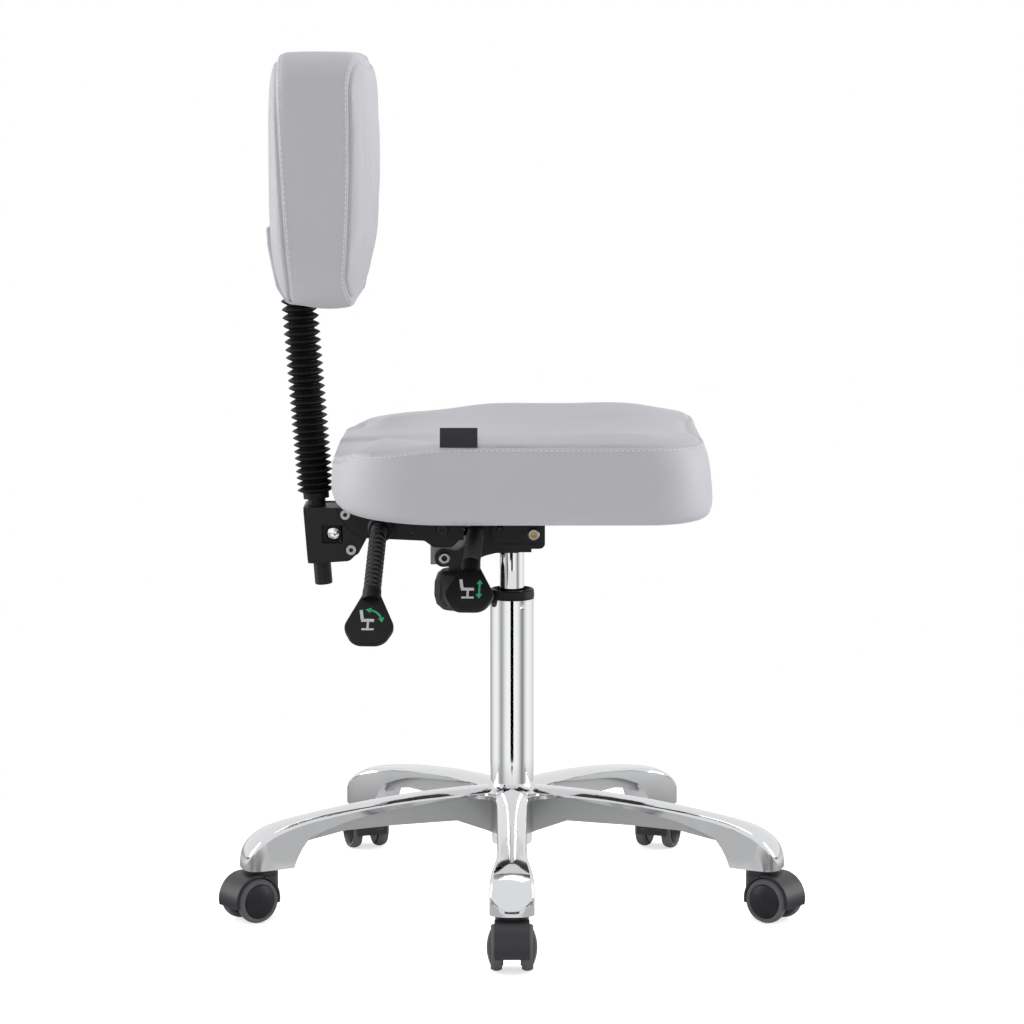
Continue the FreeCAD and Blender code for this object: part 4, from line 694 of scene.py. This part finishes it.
# %% Seat cushion, filled out and swelled
seat_cushion = copy_of("seat_cushion", "padded_seat")
apply_new(seat_cushion, "REMESH", mode="VOXEL", voxel_size=VOXEL)
apply_new(seat_cushion, "SMOOTH", factor=0.5, iterations=2)
spots = points_of(seat_cushion)
beside = np.exp(-((np.abs(spots[:, 1]) - CORNER_Y) / 0.017) ** 2)
behind = ease((-0.170 - spots[:, 0]) / 0.012)
above = ease((spots[:, 2] - 0.500) / 0.018)
spots[:, 2] += CORNER_LIFT * (beside * behind) * above
set_points(seat_cushion, spots)
draw_in(seat_cushion, SEAT_DRAW_IN, (1.0, 1.0, 0.25))
spots = points_of(seat_cushion)
by_seam = np.abs(spots[:, 2] - rim_height(spots)) < 0.0045
held = np.where(by_seam & at_rim(spots), 1.0, 0.0)
held[spots[:, 2] < BOARD_EDGE_Z] = 1.0
puff(seat_cushion, held, PRESSURE, SEAT_SWELL)
apply_new(seat_cushion, "SUBSURF", levels=1, render_levels=1)
print("seat faces", len(seat_cushion.data.polygons))

# %% [markdown]
# ## Seams and stitches
# A sewn seam is a narrow valley with a row of thread beside it. The valley needs edges that run along
# it, which a remeshed cushion doesn't have. Bisect cuts straight planes only and the seam is a curve,
# so the mesh is slid until the curve lies flat, cut, and slid back, and the new points are pressed in.
# Each stitch is a small rounded bar, modelled once and laid along the line again and again, turned to
# lie on the cover.

# %% Seam helpers
SEAM_HALF = 0.0026
SEAM_CUTS = (-1.0, -0.45, -0.15, 0.15, 0.45, 1.0)


def shift(piece, axis, curve, sign):
    """Slides every point along one axis by a curve, to lay a curved seam flat or to bend it back."""
    spots = points_of(piece)
    spots[:, axis] += sign * curve(spots)
    set_points(piece, spots)


def cut_line(piece, axis, curve, lift, keep):
    """Ordered points beside a seam at a distance along the axis, only those that keep() wants."""
    shift(piece, axis, curve, -1.0)
    cutter = bmesh.new()
    cutter.from_mesh(piece.data)
    shift(piece, axis, curve, 1.0)
    normal = Vector([float(i == axis) for i in range(3)])
    whole = cutter.verts[:] + cutter.edges[:] + cutter.faces[:]
    cut = bmesh.ops.bisect_plane(cutter, geom=whole, plane_co=normal * lift, plane_no=normal)
    line = np.array([v.co for v in cut["geom_cut"] if isinstance(v, bmesh.types.BMVert)])
    cutter.free()
    line[:, axis] += curve(line)
    line = line[keep(line)]
    one, two = [i for i in range(3) if i != axis]
    middle = (line.max(axis=0) + line.min(axis=0)) / 2
    round_about = np.arctan2(line[:, two] - middle[two], line[:, one] - middle[one])
    return line[np.argsort(round_about)]


def press_seam(piece, axis, curve, depth, keep):
    """Cuts edges along a seam and presses a valley into the cover there."""
    normal = Vector([float(i == axis) for i in range(3)])
    shift(piece, axis, curve, -1.0)
    for step in SEAM_CUTS:
        work_on(piece)
        bpy.ops.object.mode_set(mode="EDIT")
        bpy.ops.mesh.select_all(action="SELECT")
        bpy.ops.mesh.bisect(plane_co=normal * step * SEAM_HALF, plane_no=normal)
        bpy.ops.object.mode_set(mode="OBJECT")
    shift(piece, axis, curve, 1.0)
    spots = points_of(piece)
    facing = np.zeros(len(spots) * 3)
    piece.data.vertices.foreach_get("normal", facing)
    away = np.abs(spots[:, axis] - curve(spots)) / SEAM_HALF
    share = np.clip(1.15 * (1.0 - away), 0.0, 1.0) ** 1.6 * keep(spots)
    set_points(piece, spots - facing.reshape(-1, 3) * (depth * share)[:, None])


print("seam valleys are", 2000 * SEAM_HALF, "mm wide")

# %% Stitch helpers
STITCH_PITCH = 0.0058
STITCH_LONG = 0.0040
STITCH_THICK = 0.0011


def one_stitch():
    """Points and faces of one stitch: a short bar with rounded ends, along X."""
    deselect()
    bpy.ops.mesh.primitive_cylinder_add(vertices=6, radius=1.0, depth=2.0,
                                        rotation=(0.0, math.pi / 2, 0.0))
    bar = bpy.context.object
    bpy.ops.object.transform_apply(location=True, rotation=True, scale=True)
    bpy.ops.object.mode_set(mode="EDIT")
    bpy.ops.mesh.select_all(action="SELECT")
    bpy.ops.mesh.bevel(offset=0.45, segments=1)
    bpy.ops.object.mode_set(mode="OBJECT")
    points = points_of(bar)
    faces = [tuple(p.vertices) for p in bar.data.polygons]
    bpy.data.objects.remove(bar)
    return points, faces


STITCH = one_stitch()


def sew(name, cushion, line):
    """Lays stitches along a closed line of points on a cushion and returns them as one piece."""
    skin = BVHTree.FromPolygons([v.co for v in cushion.data.vertices],
                                [p.vertices for p in cushion.data.polygons])
    way = np.vstack([line, line[:1]])
    run = np.concatenate([[0.0], np.cumsum(np.linalg.norm(np.diff(way, axis=0), axis=1))])
    count = int(run[-1] / STITCH_PITCH)
    points, faces = [], []
    for k in range(count):
        middle = run[-1] * (k + 0.5) / count
        ends = [np.array([np.interp(middle + d, run, way[:, i]) for i in range(3)])
                for d in (-STITCH_LONG / 2, STITCH_LONG / 2)]
        hits = [skin.find_nearest(Vector(e)) for e in ends]
        ahead = (hits[1][0] - hits[0][0]).normalized()
        out = (hits[0][1] + hits[1][1]).normalized()
        cross = out.cross(ahead).normalized()
        centre = (hits[0][0] + hits[1][0]) / 2 + out * STITCH_THICK * 0.2
        half = STITCH_THICK / 2
        basis = np.array([ahead * (STITCH_LONG / 2), cross * half, out * half])
        start = len(points)
        points.extend((STITCH[0] @ basis + np.array(centre)).tolist())
        faces.extend(tuple(i + start for i in f) for f in STITCH[1])
    mesh = bpy.data.meshes.new(name)
    mesh.from_pydata(points, [], faces)
    made = bpy.data.objects.new(name, mesh)
    scene.collection.objects.link(made)
    mesh.materials.append(thread)
    work_on(made)
    bpy.ops.object.shade_smooth()
    print(name, count, "stitches")
    return made


print("stitch faces", len(STITCH[1]))

# %% Seat seam and its stitches
press_seam(seat_cushion, 2, rim_height, 0.0021, at_rim)
seat_cushion.data.materials.append(cover_grey)
work_on(seat_cushion)
bpy.ops.object.shade_smooth()
seat_line = cut_line(seat_cushion, 2, rim_height, -0.0042, at_rim)
seat_thread = sew("seat_stitches", seat_cushion, seat_line)
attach(seat_cushion, "seat")
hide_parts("seat_cushion")
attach(seat_thread, "seat")
print("seat sewn, faces", len(seat_cushion.data.polygons))

# %% [markdown]
# ## The backrest
# The back is a firm pad with a flat gusset round its edge between a crowned front panel and a rear
# panel. Two seams run right round it, one at each edge of the gusset, and both show a row of stitches
# on the gusset's side. It is made as the seat is; its seams stand upright and bow a little.

# %% Backrest form
BACK_TOP = 0.965
BACK_FALL = 0.245
BOW = 0.016
BOW_HALF = 0.175
BACK_DRAW_IN = 0.0034
BACK_SWELL = 0.0046
SEAM_GRIP = 0.004


def fall_share(points):
    """How far down the back a point lies, from 0 near the top to 1 near the bottom."""
    return np.clip((BACK_TOP - points[:, 2]) / BACK_FALL, 0.0, 1.0)


def front_seam(points):
    """X of the gusset's front edge, which bows forward in the middle of the back."""
    t = fall_share(points)
    bow = BOW * (1.0 - np.clip(np.abs(points[:, 1]) / BOW_HALF, 0.0, 1.0) ** 3)
    return -0.1745 + 0.0115 * t - 0.0150 * t * t + bow


def rear_seam(points):
    """X of its rear edge, which leans forward to the bottom."""
    t = fall_share(points)
    return -0.2540 + 0.0065 * t + 0.0068 * t * t


back_cushion = copy_of("backrest_cushion", "padded_back")
apply_new(back_cushion, "REMESH", mode="VOXEL", voxel_size=VOXEL)
apply_new(back_cushion, "SMOOTH", factor=0.5, iterations=3)
crown = back_cushion.vertex_groups.new(name="crown")
spots = points_of(back_cushion)
ahead = np.nonzero(spots[:, 0] > front_seam(spots) + 0.005)[0]
crown.add([int(i) for i in ahead], 1.0, "REPLACE")
apply_new(back_cushion, "SMOOTH", factor=0.5, iterations=30, vertex_group="crown")
back_cushion.vertex_groups.clear()
draw_in(back_cushion, BACK_DRAW_IN, (1.0, 1.0, 0.6))
low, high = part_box("backrest_cushion")
spots = points_of(back_cushion)
x, y, z = spots[:, 0], np.abs(spots[:, 1]), spots[:, 2]
held = np.where(np.abs(x - front_seam(spots)) < SEAM_GRIP, 1.0, 0.0)
held[np.abs(x - rear_seam(spots)) < SEAM_GRIP] = 1.0
under_flap = (y < 0.112) & (z < 0.782) & (x < -0.235)
in_pocket = (y < 0.075) & (z < 0.81) & (x > -0.262) & (x < -0.212)
held[under_flap | in_pocket] = 1.0
puff(back_cushion, held, PRESSURE, BACK_SWELL)
apply_new(back_cushion, "SUBSURF", levels=1, render_levels=1)
print("back faces", len(back_cushion.data.polygons))


# %% Back seams and their stitches
def on_skin(points):
    """Only points on the back's outer edge, not in the slot for its post."""
    edge_y = np.abs(points[:, 1]) > 0.15
    edge_z = (points[:, 2] > high.z - 0.03) | (points[:, 2] < low.z + 0.03)
    return edge_y | edge_z


for seam in (front_seam, rear_seam):
    press_seam(back_cushion, 0, seam, 0.0024, on_skin)
back_cushion.data.materials.append(cover_grey)
work_on(back_cushion)
bpy.ops.object.shade_smooth()
threads = []
for tag, seam, beside in (("front", front_seam, -0.0045), ("rear", rear_seam, 0.0045)):
    line = cut_line(back_cushion, 0, seam, beside, on_skin)
    threads.append(sew("back_stitches_" + tag, back_cushion, line))
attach(back_cushion, "backrest")
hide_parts("backrest_cushion")
for piece in threads:
    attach(piece, "backrest")
print("backrest sewn, faces", len(back_cushion.data.polygons))

# %% [markdown]
# ## The cover flap behind the post
# Where the post enters the back, a separate flap of the same cloth closes the pocket. It is thin, so
# the remesh uses a fine voxel and no cloth run, and only its corners are eased.

# %% Rear flap
rear_flap = copy_of("back_cover", "rear_flap")
apply_new(rear_flap, "REMESH", mode="VOXEL", voxel_size=0.0016)
apply_new(rear_flap, "SMOOTH", factor=0.5, iterations=5)
rear_flap.data.materials.append(cover_grey)
work_on(rear_flap)
bpy.ops.object.shade_smooth()
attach(rear_flap, "backrest")
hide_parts("back_cover")
print("flap faces", len(rear_flap.data.polygons))

# %% [markdown]
# ## The bellows
# A rubber bellows hides the post and folds up when the back comes down. Its folds are rings, wide and
# narrow in turn, so it is drawn as a hand would: a circle that is extruded upwards and widened or
# drawn in again and again. The folds grow a little wider in pitch to the top. The real one gets
# shorter with the joint; here it is a new piece carried by the seat, with no squash of its own.

# %% Bellows
POST_FOOT = Vector((-0.2215, 0.0, 0.464))
POST_LEAN = math.radians(4.5)
FOLDS = 27
FOLD_OUT = 0.0205
FOLD_IN = 0.0140
FOLD_SHOULDER = FOLD_OUT - 0.0028
FOLD_TOP = 0.223
FOLD_GROWTH = 0.34
CUFF = 0.0065
CUFF_RADIUS = FOLD_IN + 0.0006
RINGS = ((0.22, FOLD_SHOULDER), (0.22, FOLD_OUT), (0.10, FOLD_OUT), (0.22, FOLD_SHOULDER),
         (0.20, FOLD_IN), (0.04, FOLD_IN))


def grow_ring(up, factor):
    """Extrudes the selected ring upwards and widens it."""
    bpy.ops.mesh.extrude_edges_move(TRANSFORM_OT_translate={"value": (0.0, 0.0, up)})
    bpy.ops.transform.resize(value=(factor, factor, 1.0))


deselect()
bpy.ops.mesh.primitive_circle_add(vertices=64, radius=CUFF_RADIUS, location=(0.0, 0.0, -CUFF))
bellows = bpy.context.object
bellows.name = "bellows"
bpy.ops.object.mode_set(mode="EDIT")
bpy.ops.mesh.select_all(action="SELECT")
grow_ring(CUFF, 1.0)
pitches = [1.0 + FOLD_GROWTH * k / FOLDS for k in range(FOLDS)]
unit = FOLD_TOP / sum(pitches)
wide_now = CUFF_RADIUS
for pitch in pitches:
    for share, radius in RINGS:
        grow_ring(unit * pitch * share, radius / wide_now)
        wide_now = radius
grow_ring(CUFF, 1.0)
bpy.ops.object.mode_set(mode="OBJECT")
bellows.rotation_euler = (0.0, -POST_LEAN, 0.0)
bellows.location = POST_FOOT
settle(bellows)
apply_new(bellows, "SOLIDIFY", thickness=0.0012, offset=-1.0)
bellows.data.materials.append(fold_rubber)
work_on(bellows)
bpy.ops.object.shade_smooth_by_angle(angle=math.radians(50))
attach(bellows, "seat")
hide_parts("back_bellows")
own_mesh(bellows)
print("bellows", FOLDS, "folds, faces", len(bellows.data.polygons))

# %% [markdown]
# ## The tilt spring
# Between the saddle and the seat's frame sits a short coil spring. A circle swept by the Screw
# modifier is the quickest true helix. The real spring is squeezed when the seat tilts back; this one
# is carried by the column's lift and keeps its length.

# %% Spring
spring_low, spring_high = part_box("tilt_spring")
coil_mid = (spring_low + spring_high) / 2
COIL_TURNS = 3
COIL_STEPS = 48 * COIL_TURNS
WIRE = 0.002
coil_radius = (spring_high.y - spring_low.y) / 2 - WIRE
deselect()
bpy.ops.mesh.primitive_circle_add(vertices=14, radius=WIRE, location=(coil_radius, 0.0, 0.0),
                                  rotation=(math.pi / 2, 0.0, 0.0))
spring = bpy.context.object
spring.name = "tilt_coil"
settle(spring)
rise = spring_high.z - spring_low.z - 2 * WIRE
apply_new(spring, "SCREW", angle=math.tau * COIL_TURNS, screw_offset=rise, iterations=1,
          steps=COIL_STEPS, render_steps=COIL_STEPS, use_merge_vertices=False)
bpy.ops.object.mode_set(mode="EDIT")
bpy.ops.mesh.select_all(action="SELECT")
bpy.ops.mesh.fill_holes(sides=0)
bpy.ops.mesh.select_all(action="SELECT")
bpy.ops.mesh.normals_make_consistent(inside=False)
bpy.ops.object.mode_set(mode="OBJECT")
spring.location = (coil_mid.x, coil_mid.y, spring_low.z + WIRE)
settle(spring)
spring.data.materials.append(spring_steel)
bpy.ops.object.shade_smooth_by_angle(angle=math.radians(50))
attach(spring, "column_lift")
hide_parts("tilt_spring")
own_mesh(spring)
print("spring from", [round(c, 4) for c in spring_low], "faces", len(spring.data.polygons))

# %% [markdown]
# ## Marks on the two paddles
# Each paddle carries a small printed mark for what it does: a seat with an up-and-down arrow, and a
# seat with an arrow that swings. They are drawn flat from bars and arrow heads as thick as a coat of
# ink, joined, and then laid on the paddle's outer face by a matrix made from the paddle's two ends.

# %% Drawing helpers for the marks
INK = 0.00016


def ink_bar(start, end, width):
    """A flat bar between two points of the mark's own plane."""
    a, b = Vector((*start, 0.0)), Vector((*end, 0.0))
    deselect()
    bpy.ops.mesh.primitive_cube_add(size=1.0)
    bar = bpy.context.object
    bar.scale = ((b - a).length, width, INK)
    bar.rotation_euler = (0.0, 0.0, math.atan2(b.y - a.y, b.x - a.x))
    bar.location = (a + b) / 2
    settle(bar)
    bpy.ops.object.mode_set(mode="EDIT")
    bpy.ops.mesh.select_all(action="SELECT")
    bpy.ops.mesh.bevel(offset=INK * 0.4, segments=1)
    bpy.ops.object.mode_set(mode="OBJECT")
    return bar


def ink_head(at, degrees, size):
    """A flat arrow head that points along an angle."""
    deselect()
    bpy.ops.mesh.primitive_cylinder_add(vertices=3, radius=size, depth=INK)
    head = bpy.context.object
    bpy.ops.object.mode_set(mode="EDIT")
    bpy.ops.mesh.select_all(action="SELECT")
    bpy.ops.mesh.bevel(offset=INK * 0.4, segments=1)
    bpy.ops.object.mode_set(mode="OBJECT")
    head.rotation_euler = (0.0, 0.0, math.radians(degrees - 90.0))
    head.location = (*at, 0.0)
    return settle(head)


def ink_arc(centre, radius, first, last, width):
    """A flat band along an arc, made by spinning a short edge."""
    deselect()
    bpy.ops.mesh.primitive_plane_add(size=1.0)
    band = bpy.context.object
    bpy.ops.object.mode_set(mode="EDIT")
    bpy.ops.mesh.select_all(action="SELECT")
    bpy.ops.transform.resize(value=(width, 0.0, 1.0))
    bpy.ops.mesh.remove_doubles(threshold=1e-6)
    bpy.ops.transform.translate(value=(radius, 0.0, 0.0))
    bpy.ops.mesh.select_all(action="SELECT")
    bpy.ops.mesh.spin(steps=20, angle=math.radians(last - first), center=(0.0, 0.0, 0.0),
                      axis=(0.0, 0.0, -1.0))
    bpy.ops.object.mode_set(mode="OBJECT")
    apply_new(band, "SOLIDIFY", thickness=INK, offset=0.0)
    bpy.ops.object.mode_set(mode="EDIT")
    bpy.ops.mesh.select_all(action="SELECT")
    bpy.ops.mesh.normals_make_consistent(inside=False)
    bpy.ops.object.mode_set(mode="OBJECT")
    band.rotation_euler = (0.0, 0.0, math.radians(first))
    band.location = (*centre, 0.0)
    return settle(band)


def join_mark(name, bits, ink):
    """Joins the bits of a mark into one piece."""
    work_on(bits[0])
    for bit in bits:
        bit.select_set(True)
    bpy.ops.object.join()
    bits[0].name = name
    bits[0].data.materials.clear()
    bits[0].data.materials.append(ink)
    return bits[0]


print("mark helpers ready")

# %% Draw the marks and lay them on the paddles
pale_ink = grained("pale_ink", (0.50, 0.52, 0.52), (0.60, 0.62, 0.61), 3000, (0.5, 0.6), 0.1)
green_ink = grained("green_ink", (0.02, 0.33, 0.13), (0.04, 0.42, 0.18), 3000, (0.5, 0.6), 0.1)
LEVER_TURN = math.radians(-3.5)
PADDLE_HALF = 0.003
MARK_DOWN = 0.58
MARK_SIZE = 1.3
HEAD = 0.0032
SHAFT = 0.0016
SEAT_BARS = (((-0.0075, 0.0105), (-0.0060, 0.0010), 0.0026),
             ((-0.0068, 0.0), (0.0040, 0.0), 0.0030),
             ((-0.0010, -0.0010), (-0.0010, -0.0085), 0.0018),
             ((-0.0060, -0.0090), (0.0042, -0.0090), 0.0020))


def paddle_plane(pivot_x, pivot_y, first, last):
    """A matrix from the mark's plane to a paddle's outer face, from the two ends of the paddle."""
    swing = Matrix.Rotation(LEVER_TURN, 4, "Z")
    down = Vector((0.0, last[0] - first[0], last[1] - first[1])).normalized()
    across = Vector((1.0, 0.0, 0.0))
    out = down.cross(across).normalized()
    middle = Vector((0.0, *(a + (b - a) * MARK_DOWN for a, b in zip(first, last))))
    spot = middle + out * (PADDLE_HALF + INK * 0.3)
    size = Matrix.Diagonal((MARK_SIZE, MARK_SIZE, 1.0, 1.0))
    lay = Matrix((across, -down, out)).transposed().to_4x4() @ size
    return Matrix.Translation((pivot_x, pivot_y, 0.0)) @ swing @ Matrix.Translation(spot) @ lay


def seat_mark(tag):
    """The seat of the mark: back, seat pan, column and foot."""
    return join_mark(tag + "_mark_seat", [ink_bar(*bar) for bar in SEAT_BARS], pale_ink)


lift_bits = [ink_bar((0.0085, -0.0055), (0.0085, 0.0060), SHAFT),
             ink_head((0.0085, 0.0072), 90, HEAD), ink_head((0.0085, -0.0067), 270, HEAD)]
tilt_bits = [ink_arc((-0.002, -0.002), 0.0125, 18, 82, SHAFT),
             ink_head((0.0101, 0.0012), 285, HEAD), ink_head((-0.0007, 0.0105), 172, HEAD)]
marks = (("lift", lift_bits, paddle_plane(-0.037, -0.027, (-0.123, 0.411), (-0.173, 0.367))),
         ("tilt", tilt_bits, paddle_plane(-0.1466, -0.048, (-0.102, 0.381), (-0.152, 0.330))))
for tag, bits, plane in marks:
    for piece in (seat_mark(tag), join_mark(tag + "_mark_arrow", bits, green_ink)):
        piece.data.transform(plane)
        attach(piece, tag + "_lever")
print("marks laid on", len(marks), "paddles")

# %% [markdown]
# ## A plug for the spare hole
# The near side of the seat's frame has one spare hole. A rubber plug pushed in from inside closes it:
# a short pin with a flat head, set back a little from the outer face so that the hole's edge shows.

# %% Rubber plug
HOLE = Vector((-0.112, 0.0, 0.4295))
PIN = (0.0023, -0.0470, -0.0436)
FLAT_HEAD = (0.0042, -0.0446, -0.0430)
deselect()
bits = []
for radius, outer, inner in (PIN, FLAT_HEAD):
    bpy.ops.mesh.primitive_cylinder_add(vertices=32, radius=radius, depth=inner - outer,
                                        rotation=(math.pi / 2, 0.0, 0.0),
                                        location=(HOLE.x, (outer + inner) / 2, HOLE.z))
    bits.append(settle(bpy.context.object))
plug = join_mark("hole_plug", bits, grip)
apply_new(plug, "BEVEL", width=0.0003, segments=2)
bpy.ops.object.shade_smooth_by_angle(angle=math.radians(40))
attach(plug, "seat")
print("plug faces", len(plug.data.polygons))

# %% [markdown]
# ## The sewn-in tab
# A short woven tab stands out of the rim seam. It is left blank. It starts as a thin block that is
# cut across, curved by moving its rows, and rounded along its fold.

# %% Blank tab
tab_cloth, tree, shader, add = finish_named("black_woven_tab")
place = object_place(add)
yarns = [("Vector", place), ("Scale", 700.0), ("Distortion", 0.4)]
warp = add("ShaderNodeTexWave", yarns, bands_direction="X").outputs[1]
weft = add("ShaderNodeTexWave", yarns, bands_direction="Z").outputs[1]
weave = maths(add, "MULTIPLY", warp, weft)
dyed = blend(add, weave, (0.007, 0.007, 0.009), (0.022, 0.022, 0.026))
wear(tree, shader, {"Base Color": dyed, "Roughness": 0.7,
                    "Normal": relief(add, weave, 0.4, 0.0002)})
TAB_MIDDLE = -0.0572
TAB_WIDE = 0.0405
TAB_HIGH = 0.021
TAB_THICK = 0.0012
TAB_ROWS = 8
deselect()
bpy.ops.mesh.primitive_cube_add(size=1.0)
tab = bpy.context.object
tab.name = "blank_tab"
tab.scale = (TAB_WIDE, TAB_THICK, TAB_HIGH)
settle(tab)
bpy.ops.object.mode_set(mode="EDIT")
for k in range(1, TAB_ROWS):
    bpy.ops.mesh.select_all(action="SELECT")
    bpy.ops.mesh.bisect(plane_co=(0.0, 0.0, TAB_HIGH * (k / TAB_ROWS - 0.5)), plane_no=(0.0, 0.0, 1.0))
bpy.ops.object.mode_set(mode="OBJECT")
spots = points_of(tab)
rise = spots[:, 2] / TAB_HIGH + 0.5
spots[:, 1] += 0.0035 * rise ** 2 + 0.0015 * rise
set_points(tab, spots)
apply_new(tab, "BEVEL", width=0.0004, segments=2)
near_side = np.abs(seat_line[:, 0] - TAB_MIDDLE) + (seat_line[:, 1] > 0)
rim_y = seat_line[np.argmin(near_side)][1]
rim_z = rim_height(np.array([[TAB_MIDDLE, 0.0, 0.0]]))[0]
tab.location = (TAB_MIDDLE, rim_y + 0.0012, rim_z + TAB_HIGH / 2 - 0.001)
settle(tab)
tab.data.materials.append(tab_cloth)
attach(tab, "seat")
print("tab", [round(c, 4) for c in points_of(tab).mean(axis=0)])
